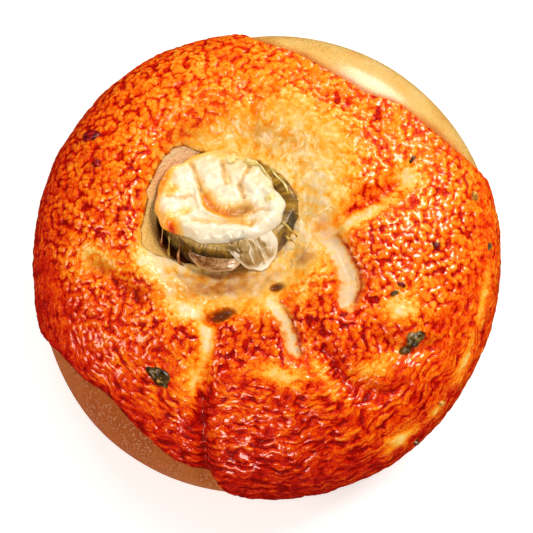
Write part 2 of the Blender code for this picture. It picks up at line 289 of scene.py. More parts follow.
def feed(socket, value):
    """Links a field to an input, or gives the input a plain value."""
    if isinstance(value, Field):
        socket.id_data.links.new(value.node.outputs[value.output], socket)
    else:
        socket.default_value = value


def add_node(kind, inputs=None, tree=None, **settings):
    """Adds a node to this tree, or to that of the fields that feed it. Inputs go by name or number."""
    inputs = inputs or {}
    tree = tree or next(value.node.id_data for value in inputs.values() if isinstance(value, Field))
    made = tree.nodes.new(kind)
    for name, value in settings.items():
        setattr(made, name, value)
    for name, value in inputs.items():
        feed(made.inputs[name], value)
    return Field(made)


def calc(operation, *values, clamp=False):
    return add_node("ShaderNodeMath", dict(enumerate(values)), operation=operation, use_clamp=clamp)


def eased(value, low, high, to_low=0.0, to_high=1.0):
    """As ease, for a field, with other values than 0 and 1 at its ends."""
    ends = {"Value": value, "From Min": low, "From Max": high, "To Min": to_low, "To Max": to_high}
    return add_node("ShaderNodeMapRange", ends, interpolation_type="SMOOTHSTEP")


def noise(vector, scale, detail=2.0, distortion=0.0, output="Fac"):
    inputs = {"Vector": vector, "Scale": scale, "Detail": detail, "Distortion": distortion}
    return add_node("ShaderNodeTexNoise", inputs)[output]


def linear(*colour):
    """A screen colour of 0 to 255, as the shaders want it."""
    share = np.array(colour) / 255
    bright = ((share + 0.055) / 1.055) ** 2.4
    return (*np.where(share < 0.04045, share / 12.92, bright), 1.0)


def ramp(level, stops):
    made = add_node("ShaderNodeValToRGB", {"Fac": level})
    points = made.node.color_ramp.elements
    while len(points) < len(stops):
        points.new(0.5)
    for point, (place, colour) in zip(points, stops):
        point.position, point.color = place, linear(*colour)
    return made


def mix(share, first, second):
    """Mixes two colours. A mixing node has those as its inputs 6 and 7 and its output 2."""
    return add_node("ShaderNodeMix", {0: share, 6: first, 7: second}, data_type="RGBA")[2]


def own(tree, name, output="Fac"):
    """The piece's own attribute of this name."""
    return add_node("ShaderNodeAttribute", tree=tree, attribute_name=name)[output]


def new_material(name):
    made = bpy.data.materials.new(name)
    made.use_nodes = True
    return made, made.node_tree


def dress(material, inputs, height=None, depth=0.0, strength=1.0):
    """Feeds a material's shader, and roughens it by a field of heights, this deep in metres."""
    if height is not None:
        bump = {"Height": height, "Strength": strength, "Distance": depth}
        inputs = {**inputs, "Normal": add_node("ShaderNodeBump", bump)}
    for name, value in inputs.items():
        feed(material.node_tree.nodes["Principled BSDF"].inputs[name], value)


def shader_group(name, inputs, outputs):
    """An empty shader group, a field of its inputs, and its outputs' sockets."""
    group = bpy.data.node_groups.new(name, "ShaderNodeTree")
    for labels, side in ((inputs, "INPUT"), (outputs, "OUTPUT")):
        for label, kind in labels.items():
            group.interface.new_socket(label, in_out=side, socket_type="NodeSocket" + kind)
    return group, Field(group.nodes.new("NodeGroupInput")), group.nodes.new("NodeGroupOutput").inputs


# Fine grain: a bumpy height and a mask of pale specks, for dough and cheese alike
GRAIN, given, result = shader_group(
    "food grain",
    {"Vector": "Vector", "Size": "Float", "Specks": "Float"}, {"Height": "Float", "Speck": "Float"},
)
per_size = calc("DIVIDE", 1.0, given["Size"])
cells = add_node("ShaderNodeTexVoronoi", {"Vector": given["Vector"], "Scale": per_size})["Distance"]
feed(result["Height"], noise(given["Vector"], per_size, 3.0))
feed(result["Speck"], calc("LESS_THAN", cells, given["Specks"] * 0.4))


def use_group(group, **inputs):
    return add_node("ShaderNodeGroup", inputs, node_tree=group)


def as_piece(name, points, faces, material, **attributes):
    """A smooth piece from points in mm and faces, with an attribute for each array given."""
    data = bpy.data.meshes.new(name)
    data.from_pydata(np.asarray(points, float) * MM, [], faces)
    data.shade_smooth()
    for label, values in attributes.items():
        values = np.asarray(values, float)
        if values.ndim == 1:
            data.attributes.new(label, "FLOAT", "POINT").data.foreach_set("value", values)
        else:
            flat = np.column_stack([values, np.zeros((len(values), 3 - values.shape[1]))]).ravel()
            data.attributes.new(label, "FLOAT_VECTOR", "POINT").data.foreach_set("vector", flat)
    data.materials.append(material)
    made = bpy.data.objects.new(name, data)
    bpy.context.scene.collection.objects.link(made)
    return made


def turned_faces(rings, columns):
    """Faces of a body of rings, from the middle of its top (point 0) to the middle below (the last)."""
    here = np.arange(columns)
    beside = (here + 1) % columns
    faces = [(0, 1 + a, 1 + b) for a, b in zip(here, beside)]
    for ring in range(rings - 1):
        start, following = 1 + ring * columns, 1 + (ring + 1) * columns
        faces += zip(start + here, following + here, following + beside, start + beside)
    start, last = 1 + (rings - 1) * columns, 1 + rings * columns
    return [tuple(map(int, face)) for face in faces] + [
        (int(last), int(start + b), int(start + a)) for a, b in zip(here, beside)
    ]


DOUGH_COLUMNS = 360
# Rings of points: inside the blanket's inner edge, under it, outside it, and on the flat face
RINGS_INSIDE, RINGS_UNDER, RINGS_OUTSIDE, RINGS_BELOW = 12, 60, 34, 26
COVERED_IN, COVERED_OUT = 3.0, 2.5  # the rings change this far under the blanket's edges
SOCKET_FLOOR_RINGS = (0.25, 0.5, 0.7, 0.85, 0.94, 1.0)
# The strip beside the slice: it ends between these distances, and is browner towards the near side
STRIP_END = (31, 45)
STRIP_BROWNING, STRIP_BROWNS = 0.32, (134, 172)
# Browning of the bare dough: (direction, beside the cheese, low on the side), from 0 pale to 1 brown
DOUGH_BAKE = (
    (0, 0.50, 0.62), (20, 0.34, 0.50), (40, 0.30, 0.42), (65, 0.28, 0.42), (90, 0.32, 0.44),
    (110, 0.44, 0.56), (190, 0.62, 0.72), (205, 0.66, 0.76), (230, 0.68, 0.78), (255, 0.62, 0.74),
    (275, 0.56, 0.70),
)
# The pale ring where the bun stood on its sheet: how much paler, and its width
FOOT_PALE, FOOT_WIDTH = 0.15, 5


def rings_between(inner, outer, count):
    share = np.linspace(0, 1, count + 1)[:, None, None]
    return list(inner * (1 - share) + outer * share)


def socket_floor_level(points):
    lean = towards(SLICE_LEANS_TO)
    under_slice = np.array(SLICE_CENTRE) - SLICE_THICK * math.sin(SLICE_LEAN) * lean
    level = SLICE_LEVEL - SLICE_THICK * math.cos(SLICE_LEAN) - GAP / math.cos(SLICE_LEAN)
    return level - math.tan(SLICE_LEAN) * (points - under_slice) @ lean


def dough_browning(flat):
    way, length = polar(flat)
    edge, side = round_the_compass(way, DOUGH_BAKE, 1), round_the_compass(way, DOUGH_BAKE, 2)
    bake = edge + (side - edge) * ease(length, WIDEST_LENGTH - 8, FLAT_LENGTH - 6)
    bake *= ease(length, *STRIP_END)
    speckled = (1 - ease(length, *STRIP_END)) * (length > 0)
    bake += STRIP_BROWNING * ease(np.degrees(way) % 360, *STRIP_BROWNS) * speckled
    golden = 0.22 * np.exp(-(((outer_reach(way) - length) / 1.6) ** 2))
    bake += golden * ease(np.cos(way - math.radians(60)), 0.5, 0.9) * ease(length, 30, 40)
    bake = np.where(length > FLAT_LENGTH - 3, np.maximum(bake, 0.7), bake)
    bake -= FOOT_PALE * np.exp(-(((length - FLAT_LENGTH) / FOOT_WIDTH) ** 2))
    # Painted shade on the dough in the gap beside the slice, full at the socket's lip
    direction, beyond = beyond_socket(flat)
    shade = round_the_compass(direction, SOCKET_SHADE)
    depth = ease((beyond - round_the_compass(direction, SOCKET_LIP)) / shade, 1.0, 0.0)
    return {"bake": bake, "speckled": speckled, "depth": depth * (length < 40)}


def make_bun(material):
    direction = compass(DOUGH_COLUMNS)
    out = towards(direction)
    inner, outer = inner_edge(DOUGH_COLUMNS), outer_reach(direction)[:, None] * out
    flat_start, bottom = FLAT_LENGTH * out, SIDE_LENGTH[-1] * out
    covered_in, covered_out = inner + COVERED_IN * out, outer - COVERED_OUT * out
    lip = round_the_compass(direction, SOCKET_LIP)
    on_skin = (
        rings_between(socket_outline(lip, DOUGH_COLUMNS), covered_in, RINGS_INSIDE)
        + rings_between(covered_in, covered_out, RINGS_UNDER)[1:]
        + rings_between(covered_out, flat_start, RINGS_OUTSIDE)[1:]
        + rings_between(flat_start, bottom, RINGS_BELOW)[1:-1]
    )
    middle = np.array(SOCKET_CENTRE)
    outwards = socket_outline(0, DOUGH_COLUMNS) - middle
    floor = [middle + share * outwards for share in SOCKET_FLOOR_RINGS]
    points = [np.insert(ring, 2, socket_floor_level(ring), axis=1) for ring in floor]
    points += [skin(ring) for ring in on_skin]
    flat = np.vstack([middle, *floor, *on_skin, [SIDE_LENGTH[-1], 0]])
    body = np.vstack([[*middle, socket_floor_level(middle)], *points, [0, 0, PUCKER_DEPTH]])
    faces = turned_faces(len(floor) + len(on_skin), DOUGH_COLUMNS)
    return as_piece("bun", body, faces, material, **dough_browning(flat))


dough_finish, tree = new_material("baked_dough")
place = add_node("ShaderNodeTexCoord", tree=tree)["Object"]
baked, mottle = own(tree, "bake"), noise(place, 160.0, 5.0)
tone = ramp(baked + (mottle - 0.5) * 0.26, (
    (0.0, (255, 206, 150)), (0.10, (255, 194, 134)), (0.22, (255, 210, 132)), (0.30, (254, 200, 108)),
    (0.38, (244, 176, 82)), (0.5, (214, 124, 46)), (0.68, (188, 88, 22)), (0.85, (150, 62, 14)),
    (1.0, (96, 42, 20)),
))
specks = use_group(GRAIN, Vector=place, Size=0.0007, Specks=0.9)
pale = eased(baked, 0.5, 0.65, 0.0, 0.5) * eased(mottle, 0.38, 0.62, 0.15, 1.0)
tone = mix(specks["Speck"] * pale, tone, linear(232, 178, 130))
fine = use_group(GRAIN, Vector=place, Size=0.00045, Specks=0.6)
tone = mix(fine["Speck"] * (own(tree, "speckled") * 0.5), tone, linear(255, 232, 206))
# Painted shade in the gap beside the slice
tone = mix(own(tree, "depth"), tone, linear(124, 54, 18))
dress(dough_finish, {
    "Base Color": tone,
    "Roughness": eased(baked, 0.3, 0.65, 0.26, 0.62),
    "Coat Weight": eased(baked, 0.6, 0.3, 0.0, 0.7),
    "Coat Roughness": 0.20,
    "Coat IOR": 1.8,
    "Specular IOR Level": 0.2,
    "Subsurface Weight": 0.15,
    "Subsurface Radius": (1.0, 0.5, 0.25),
    "Subsurface Scale": 0.0015,
}, fine["Height"] * 0.7 + specks["Height"], 0.0009)

bun = make_bun(dough_finish)
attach(bun, "root")
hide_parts("dough")


# The blanket of cheese -----------------------------------------------------------------------------------
# Grated cheese that melted over the top and baked to a blistered crust: golden pebbles in a red network,
# long ridges near the rim, and pale soft cheese round the slice, where it stayed moist. It lies on the
# dough all over, and its edge is rounded.

LATTICE = 0.40  # spacing of the crust's points
UNDER_LATTICE = 1.1
EDGE_ROUNDING, HOLLOW_ROUNDING = 1.5, 0.6  # at the outside, and round the hollow
FILM_DROOP = 0.6  # how far the film sinks where no dough carries it
RING_CUT = math.radians(52)  # where the coordinates along the rim start and end
RING_RADIUS = 45  # the distance from the middle where they are in mm
RIDGES_GROW = 8  # how far the ridges take to reach their full share
# Ridges along the rim: (direction, share, distance over the skin where they start)
RIDGES = (
    (0, 0.5, 44), (20, 0.4, 48), (40, 0.0, 50), (80, 0.0, 50), (100, 0.2, 50), (130, 0.2, 52),
    (165, 0.35, 50), (195, 0.6, 42), (225, 0.9, 30), (245, 0.95, 28), (270, 1.0, 24), (300, 1.0, 26),
    (325, 0.8, 34), (345, 0.75, 40),
)
# Browning of the crust: (direction, halfway out, at the rim), from 0 cream to 1 burnt
CRUST_BAKE = (
    (0, 0.58, 0.64), (30, 0.50, 0.59), (60, 0.45, 0.58), (90, 0.47, 0.63), (120, 0.51, 0.71),
    (150, 0.58, 0.81), (180, 0.64, 0.88), (210, 0.67, 0.92), (240, 0.70, 0.94), (270, 0.73, 0.96),
    (300, 0.69, 0.86), (330, 0.64, 0.70),
)
# The pale soft cheese round the slice: (direction from the socket, width)
PALE_BAND = (
    (0, 9), (30, 15), (60, 14), (85, 8), (105, 4), (120, 1.5), (185, 1.0), (200, 6), (215, 9),
    (235, 8), (255, 9), (275, 9), (300, 8), (330, 9),
)
# Paler and browner spots: (middle, size along, size across, turn, change in browning); the change in the
# fold_shade spots is painted shade beside the north-east fold
SPOTS = {
    "west_gold": ((-39, -2.5), 8, 4, 0, -0.28),
    "west_pale": ((-40.5, 0), 2.4, 1.6, 10, -0.25),
    "west_lobe_red": ((-27.5, -9.5), 5.0, 2.4, -50, 0.06),
    "west_lobe_cream": ((-23.8, -3.6), 5.5, 3.0, -12, -0.46),
    "south_west_cream": ((-20.5, -14), 5.5, 3.2, -35, -0.34),
    "seam_gold": ((-17.5, -28.5), 5.5, 2.6, 70, -0.34),
    "south_west_orange": ((-16.8, -19.6), 2.6, 1.6, -60, 0.12),
    "seam_pale": ((-13.6, -21.5), 3.2, 1.3, -85, -0.35),
    "south_pale": ((2, -28.5), 6.4, 2.3, -12, -0.52),
    "diagonal_gold": ((12.6, -28.6), 7.4, 1.6, -54, -0.44),
    "south_east_gold": ((24, -26.9), 5.8, 2.0, 20, -0.40),
    "east_pale": ((29.8, -14.2), 5.0, 2.4, 14, -0.52),
    "east_gold": ((31, -10), 6, 3, -10, -0.16),
    "south_east_red": ((17, -19), 8, 5, 0, 0.05),
    "north_dark_one": ((14.5, 33.5), 5.5, 1.4, -22, 0.17),
    "north_dark_two": ((23.5, 29.5), 1.6, 4.0, 0, 0.14),
    # Painted shade on the far side of the north-east fold
    "fold_shade_red": ((23.3, 12.6), 8, 1.3, 31, 0.08),
    "fold_shade_orange": ((21, 15), 9, 3.0, 31, 0.05),
    "fold_cream": ((20.5, 7.2), 9, 1.9, 31, -0.5),
    "fold_gold": ((31, 16.6), 3.2, 2.4, 30, -0.42),
    "rim_pale_south": ((31, -43.5), 4.4, 2.1, 38, -0.60),
    "rim_pale_south_east": ((40, -37), 2.6, 1.1, 48, -0.5),
    "rim_pale_east": ((47, -26), 5.0, 1.3, 62, -0.46),
    "rim_pale_far_east": ((51, -10.5), 6.0, 1.1, 80, -0.46),
    "south_lobe_gold": ((-2, -14.5), 5.2, 3.4, 10, -0.34),
    "south_lobe_orange": ((-4.0, -12.2), 1.5, 0.9, 20, 0.22),
    "south_lobe_cream": ((2.4, -14.0), 1.6, 3.0, 15, -0.30),
    "south_lobe_west": ((-14.5, -12.5), 4.0, 2.6, 0, -0.36),
    "east_lobe_gold": ((12.4, -5.0), 2.6, 5.0, 10, -0.26),
    "east_lobe_cream": ((8.0, -11.0), 3.4, 2.6, 40, -0.40),
    "far_gold": ((7, 26), 9, 6, -20, -0.10),
    "film_blister": ((-14.5, -6.3), 1.3, 0.9, 0, 0.5),
    "east_red": ((27, 1), 9, 7, 0, 0.03),
}
# Films of translucent cheese that let the brown below show: (middle, size along, size across, turn, share)
AMBER = {
    "near_film": ((-10.5, -8.4), 11, 3.0, 4, 1.0),
    "near_film_right": ((0.5, -6.5), 4.0, 2.0, 30, 0.6),
    "near_film_edge": ((-10.0, -5.6), 11, 1.3, 2, 1.0),
    "east_window": ((8.4, -2.4), 3.0, 2.0, 22, 0.9),
    "east_film": ((11.0, 5.0), 4.0, 7.0, 20, 0.22),
    "far_film": ((0, 26), 9, 2.4, -22, 0.35),
    "far_west_film": ((-17, 26), 4.5, 2.0, 14, 0.35),
    "west_window": ((-37.5, -3.5), 3.4, 1.8, 0, 0.5),
}
# Lines where the crust is browner or paler: (points, half width, change). The browner lines, along folds and
# seams, are painted shade; the paler ribbons are cream cheese.
STREAKS = {
    "south_seam": (((-14, -33), (-14.4, -41), (-14.5, -52)), 1.3, 0.24),
    "north_east_fold": (((12.4, 4.8), (18, 8.3), (25, 12.4), (29.5, 15.8)), 0.7, 0.28),
    "north_seam": (((-3, 24), (-3, 34)), 0.9, 0.20),
    "south_east_fold": (((13, -23), (15, -26), (16.5, -28.5), (18.5, -31.5), (20, -33.5)), 0.9, 0.18),
    "west_ribbon": (
        ((-28, -2.5), (-24, -5), (-21.5, -9.5), (-18, -13.5), (-15, -15.5), (-13, -18.5)), 1.5, -0.34,
    ),
    "seam_ribbon": (((-13, -18.5), (-12.6, -21.5), (-14, -25), (-15.5, -29), (-16.2, -32)), 1.2, -0.34),
    "west_fold": (((-35, -6.5), (-29, -11)), 0.8, 0.18),
}
# Slots where the cheese pulled away from smooth pale dough: (points, half width, its steep side, which gets a
# line of painted shade)
SLOTS = {
    "east_slot": (
        ((13.0, 3.6), (16, -0.5), (18, -4.8), (19.0, -8.5), (18.2, -11.6)), 2.0,
        ((15.6, 3.2), (18.4, -0.6), (20.5, -4.8), (21.3, -8.6), (20.0, -12.4)),
    ),
    "south_slot": (
        ((0.5, -12), (2.0, -14.5), (4.0, -17), (5.0, -20), (6.0, -23.4)), 1.0,
        ((3.0, -12.4), (5.3, -16.0), (6.6, -20), (7.4, -23.6)),
    ),
}
# A flank with wrinkles across it: from, to, half width, distance from one wrinkle to the next
FLANK = ((9.8, -22.8), (15.4, -31.5), 2.0, 1.5)
WRINKLE_HEIGHT, WRINKLE_BROWNING = 0.22, 0.10
# Narrow creases in the crust itself: (points, half width, depth)
CREASES = {
    "north_east": (((12, 4.3), (18, 7.9), (25, 12), (29.5, 15.6)), 0.6, 0.5),
    "south_seam": (((-12.5, -17.5), (-14, -24), (-14.8, -31), (-14.4, -40), (-14.5, -52)), 0.7, 0.8),
    "north_seam": (((-2.8, 22.8), (-3, 28.2), (-2.5, 33.2), (-6, 38.2)), 0.6, 0.5),
    "south_east": (((13, -23), (15, -26), (16.5, -28.5), (19, -32)), 0.7, 0.8),
    "south_east_low": (((18.5, -31), (26.5, -33), (32.2, -30.8)), 0.8, 0.6),
    "far_east": (((26.2, -21), (29.8, -23.2), (37.2, -21.8)), 0.8, 0.6),
    "west": (((-40.8, -2.5), (-36, -5.8), (-31.2, -9.5)), 0.7, 0.6),
    "north": (((13, 35.5), (18, 32.5), (23, 31), (24.5, 27.5)), 0.8, 0.6),
}


def within(points, loop):
    """Whether points lie inside a loop that is seen whole from its middle."""
    middle = loop.mean(axis=0)
    way, reach = polar(loop, middle)
    order = np.argsort(way)
    direction, distance = polar(points, middle)
    return distance < np.interp(direction, way[order], reach[order], period=2 * math.pi)


def lattice(loops, spacing, seed):
    """Points in rows of triangles inside the first loop and outside the others, a little uneven."""
    low, high = loops[0].min(axis=0), loops[0].max(axis=0)
    rows = np.arange(low[1], high[1], spacing * math.sqrt(0.75))
    row = np.arange(low[0], high[0], spacing)
    points = np.array([(a + 0.5 * spacing * (number % 2), b) for number, b in enumerate(rows) for a in row])
    points += np.random.default_rng(seed).uniform(-0.12, 0.12, points.shape) * spacing
    inside = within(points, shrunk(loops[0], 0.5 * spacing))
    for hole in loops[1:]:
        inside &= ~within(points, shrunk(hole, -0.5 * spacing))
    return points[inside]


def shrunk(loop, distance):
    middle = loop.mean(axis=0)
    reach = np.linalg.norm(loop - middle, axis=1, keepdims=True)
    return middle + (loop - middle) * (1 - distance / reach)


def tiled(loops, spacing, seed):
    """Points and triangles that fill the first loop round the others. The loops' points come first."""
    points = np.vstack([*loops, lattice(loops, spacing, seed)])
    edges, start = [], 0
    for loop in loops:
        edges += [(start + here, start + (here + 1) % len(loop)) for here in range(len(loop))]
        start += len(loop)
    vectors = [Vector(point) for point in points]
    placed, _, faces, _, _, _ = delaunay_2d_cdt(vectors, edges, [], 0, 1e-6, False)
    placed, faces = np.array([tuple(point) for point in placed]), np.array([tuple(face) for face in faces])
    middles = placed[faces].mean(axis=1)
    kept = within(middles, loops[0])
    for hole in loops[1:]:
        kept &= ~within(middles, hole)
    faces = faces[kept]
    first, second, third = (placed[faces[:, corner]] for corner in range(3))
    (ax, ay), (bx, by) = (second - first).T, (third - first).T
    turned = ax * by - ay * bx < 0
    faces[turned] = faces[turned][:, ::-1]
    return placed, faces


def closed_sheet(loops, spacing, under_spacing, seed):
    """A closed sheet: flat points, faces, and which points are on its upper face. A wall joins both."""
    upper, upper_faces = tiled(loops, spacing, seed)
    under, under_faces = tiled(loops, under_spacing, seed)
    faces = [*map(tuple, upper_faces.tolist()), *map(tuple, (under_faces[:, ::-1] + len(upper)).tolist())]
    start = 0
    for number, loop in enumerate(loops):
        for here in range(len(loop)):
            a, b = start + here, start + (here + 1) % len(loop)
            wall = (a, a + len(upper), b + len(upper), b)
            faces.append(wall if number == 0 else wall[::-1])
        start += len(loop)
    return np.vstack([upper, under]), faces, np.arange(len(upper) + len(under)) < len(upper)


def crust_edge_distances(points):
    way, length = polar(points)
    direction, beyond = beyond_socket(points)
    return outer_reach(way) - length, beyond - round_the_compass(direction, INNER_EDGE)


def crust_browning(points):
    """How browned the crust is, with painted shade along its folds and seams, and how much of the pale soft
    cheese shows.
    """
    way, length = polar(points)
    middle, rim = round_the_compass(way, CRUST_BAKE, 1), round_the_compass(way, CRUST_BAKE, 2)
    level = middle + (rim - middle) * ease(length, 38, 64)
    level = with_lines(with_spots(level, points, SPOTS), points, STREAKS)
    direction, beyond = beyond_socket(points)
    shown = ease(beyond / round_the_compass(direction, PALE_BAND), 0.35, 1.35)
    golden = 0.11 + 0.09 * np.cos(direction - math.radians(100))
    level = level * shown + (1 - shown) * (golden + 0.5 * np.maximum(level - 0.55, 0))
    outside, inside = crust_edge_distances(points)
    level -= 0.26 * np.exp(-((inside / 0.6) ** 2)) * shown
    edge = np.minimum(outside, inside)
    level += 0.14 * np.exp(-((edge / 1.4) ** 2)) * ease(beyond, 8, 14)
    return level.clip(0, 1), 1 - shown


def vector_calc(operation, first, second):
    key = 3 if operation == "SCALE" else 1
    return add_node("ShaderNodeVectorMath", {0: first, key: second}, operation=operation)


def off_lines(flat, per_mm):
    """How far places are from winding lines, up to 0.5."""
    return calc("ABSOLUTE", noise(flat, per_mm, 1.0, 1.0) - 0.5)


def crust_pattern(flat, around, ridged, soft):
    """Height of the blisters and ridges, 0 to 1: of the broad ones, and of them with the small ones.

    The same nodes shape the crust and colour it.
    """
    def sway(per_mm, detail):
        return vector_calc("SUBTRACT", noise(flat, per_mm, detail, output="Color"), (0.5, 0.5, 0.5))

    def moved(places, way, amount):
        return vector_calc("ADD", places, vector_calc("SCALE", way, amount))

    def domes(places, per_mm):
        cells = {"Vector": places, "Scale": per_mm, "Smoothness": 0.35}
        made = add_node("ShaderNodeTexVoronoi", cells, feature="SMOOTH_F1", voronoi_dimensions="2D")
        return calc("MULTIPLY_ADD", made["Distance"] * made["Distance"], -2.2, 1.0, clamp=True)

    def blended(share, first, second):
        return (second - first) * share + first

    bend = sway(0.42, 1.5)
    pebbles, ridges = moved(flat, bend, 2.3), moved(around, sway(0.13, 2.0), 7.0)
    grains = vector_calc("MULTIPLY", moved(ridges, bend, 1.6), (0.30, 1.0, 1.0))
    ridges = vector_calc("MULTIPLY", ridges, (0.12, 1.0, 1.0))
    large, small = domes(pebbles, 0.66), domes(pebbles, 1.45)
    long, fine = domes(grains, 1.0), domes(grains, 2.0)
    waves = eased(noise(ridges, 0.85, 1.0, 0.3), 0.30, 0.66)
    uneven = noise(flat, 0.8, 1.0, 0.6)
    fold, crinkle = off_lines(flat, 0.26), off_lines(flat, 0.7)
    broad = blended(ridged, large * 0.75 + uneven * 0.25, waves * 0.45 + long * 0.50)
    broad = blended(soft, broad, fold * -1.9 + 0.95)
    pebbled = large * 0.58 + small * 0.22 + uneven * 0.25
    full = blended(ridged, pebbled, waves * 0.34 + long * 0.44 + fine * 0.22)
    full = blended(soft, full, fold * -1.1 + crinkle * -1.2 + 0.95)
    return broad, full


def relief_tree(name, inputs, height_of):
    """A tree that moves the upper face of a piece along its own normals, by a height in mm."""
    tree = bpy.data.node_groups.new(name, "GeometryNodeTree")

    def stored(label, kind="FLOAT"):
        made = add_node("GeometryNodeInputNamedAttribute", {"Name": label}, tree, data_type=kind)
        return made["Attribute"]

    tree.interface.new_socket("Geometry", in_out="INPUT", socket_type="NodeSocketGeometry")
    for label, value in inputs.items():
        tree.interface.new_socket(label, in_out="INPUT", socket_type="NodeSocketFloat").default_value = value
    tree.interface.new_socket("Finish", in_out="INPUT", socket_type="NodeSocketMaterial")
    tree.interface.new_socket("Geometry", in_out="OUTPUT", socket_type="NodeSocketGeometry")
    given = add_node("NodeGroupInput", tree=tree)
    height = height_of(given, stored) * stored("upper")
    offset = vector_calc("SCALE", add_node("GeometryNodeInputNormal", tree=tree), height * MM)
    moved = add_node("GeometryNodeSetPosition", {"Geometry": given["Geometry"], "Offset": offset})
    real = add_node("GeometryNodeRealizeInstances", {"Geometry": moved})
    done = add_node("GeometryNodeSetMaterial", {"Geometry": real, "Material": given["Finish"]})
    feed(tree.nodes.new("NodeGroupOutput").inputs["Geometry"], done)
    return tree


def crust_height(given, stored):
    flat, around = stored("flat", "FLOAT_VECTOR"), stored("around", "FLOAT_VECTOR")
    ridged, soft = stored("ridged"), stored("soft")
    height, _ = crust_pattern(flat, around, ridged, soft)
    depth = ridged * given["Ridge depth"] + given["Blister depth"]
    depth = (given["Film depth"] - given["Blister depth"]) * soft + depth
    depth = depth * stored("bare") * -0.8 + depth
    return (height - 1.0) * depth + (noise(flat, 0.16, 2.0) - 0.6) * given["Broad depth"]


CRUST_RELIEF = relief_tree("crust relief", {
    "Blister depth": 0.5, "Ridge depth": 0.2, "Film depth": 0.6, "Broad depth": 0.5,
}, crust_height)


def shaped_by(piece, tree, **values):
    """Runs a tree on a piece with these inputs, and keeps the result as the piece's plain mesh."""
    maker = piece.modifiers.new(tree.name, "NODES")
    maker.node_group = tree
    for socket in tree.interface.items_tree:
        label = socket.name.replace(" ", "_").lower()
        if socket.item_type == "SOCKET" and label in values:
            maker[socket.identifier] = values[label]
    piece.update_tag()
    graph = bpy.context.evaluated_depsgraph_get()
    finished = bpy.data.meshes.new_from_object(piece.evaluated_get(graph))
    piece.modifiers.clear()
    piece.data = finished
    return piece


# Browned cheese: from cream through gold, orange and red to burnt
BROWNED, given, result = shader_group("browned cheese", {"Level": "Float"}, {"Color": "Color"})
feed(result["Color"], ramp(given["Level"], (
    (0.0, (246, 216, 166)), (0.12, (250, 202, 108)), (0.27, (254, 168, 40)), (0.42, (253, 126, 8)),
    (0.56, (240, 82, 0)), (0.70, (216, 38, 0)), (0.84, (186, 12, 0)), (1.0, (140, 6, 0)),
)))

crust_finish, tree = new_material("blistered_cheese")
flat, around = own(tree, "flat", "Vector"), own(tree, "around", "Vector")
baked, ridged, soft, bare = (own(tree, name) for name in ("bake", "ridged", "soft", "bare"))
_, height = crust_pattern(flat, around, ridged, soft)
patchy = eased(noise(flat, 0.15, 2.0), 0.34, 0.62, 0.7, 1.25)
contrast = eased(soft, 0.2, 1.0, 1.0, 0.42) * patchy * eased(baked, 0.46, 0.58, 0.58, 1.0)
sunken = (0.50 - height) * contrast
level = calc("MAXIMUM", sunken * 0.55, sunken) + baked
for per_mm, detail, change in ((0.22, 3.0, 0.46), (1.3, 1.0, 0.12)):
    level = (noise(flat, per_mm, detail) - 0.5) * change + level
patches = (noise(flat, 0.55, 3.0, 0.6) - 0.47) * soft
apart = off_lines(flat, 0.9)
# Paler gold along the wrinkle lines: a painted highlight
lines = eased(apart, 0.07, 0.0) * eased(soft, 0.0, 0.6, -0.13, 0.0)
level = patches * 0.65 + (level + 0.015) + lines
amber = calc("MULTIPLY", own(tree, "amber"), noise(flat, 0.5, 3.0) * 1.6 + 0.1, clamp=True)
tone = mix(amber, use_group(BROWNED, Level=level), linear(182, 104, 34))
shown = ((noise(flat, 0.8, 4.0) - 0.55) * 1.5 + bare) * eased(bare, 0.0, 0.35)
pale = ramp(shown, (
    (0.25, (252, 158, 40)), (0.5, (250, 188, 96)), (0.8, (240, 206, 150)), (1.0, (228, 200, 164)),
))
tone = mix(eased(shown, 0.0, 0.75), tone, pale)
wrinkle = eased(apart, 0.24, 0.0) * eased(soft, 0.0, 1.0, 1.0, 1.3)
raised = use_group(GRAIN, Vector=flat, Size=0.6)["Height"] * 0.05 + (wrinkle * 0.24 + height * 0.36)
shiny = calc("MAXIMUM", eased(height, 0.42, 0.66), eased(soft, 0.3, 0.8, 0.0, 0.6))
dress(crust_finish, {
    # Painted shade in the pits and along the slots' steep sides
    "Base Color": mix(own(tree, "deep"), tone, linear(112, 50, 16)),
    "Roughness": bare * 0.25 + (noise(flat, 0.5, 1.0) * 0.20 + 0.10),
    "Specular IOR Level": 0.1,
    "Coat Weight": shiny * (bare * -0.8 + 1.0) * eased(baked, 0.38, 0.60, 0.45, 1.0),
    "Coat IOR": 1.6,
    "Coat Roughness": 0.07,
}, raised * eased(soft, 0.3, 1.0, 1.0, 0.6) * (bare * -0.7 + 1.0), 0.0004)

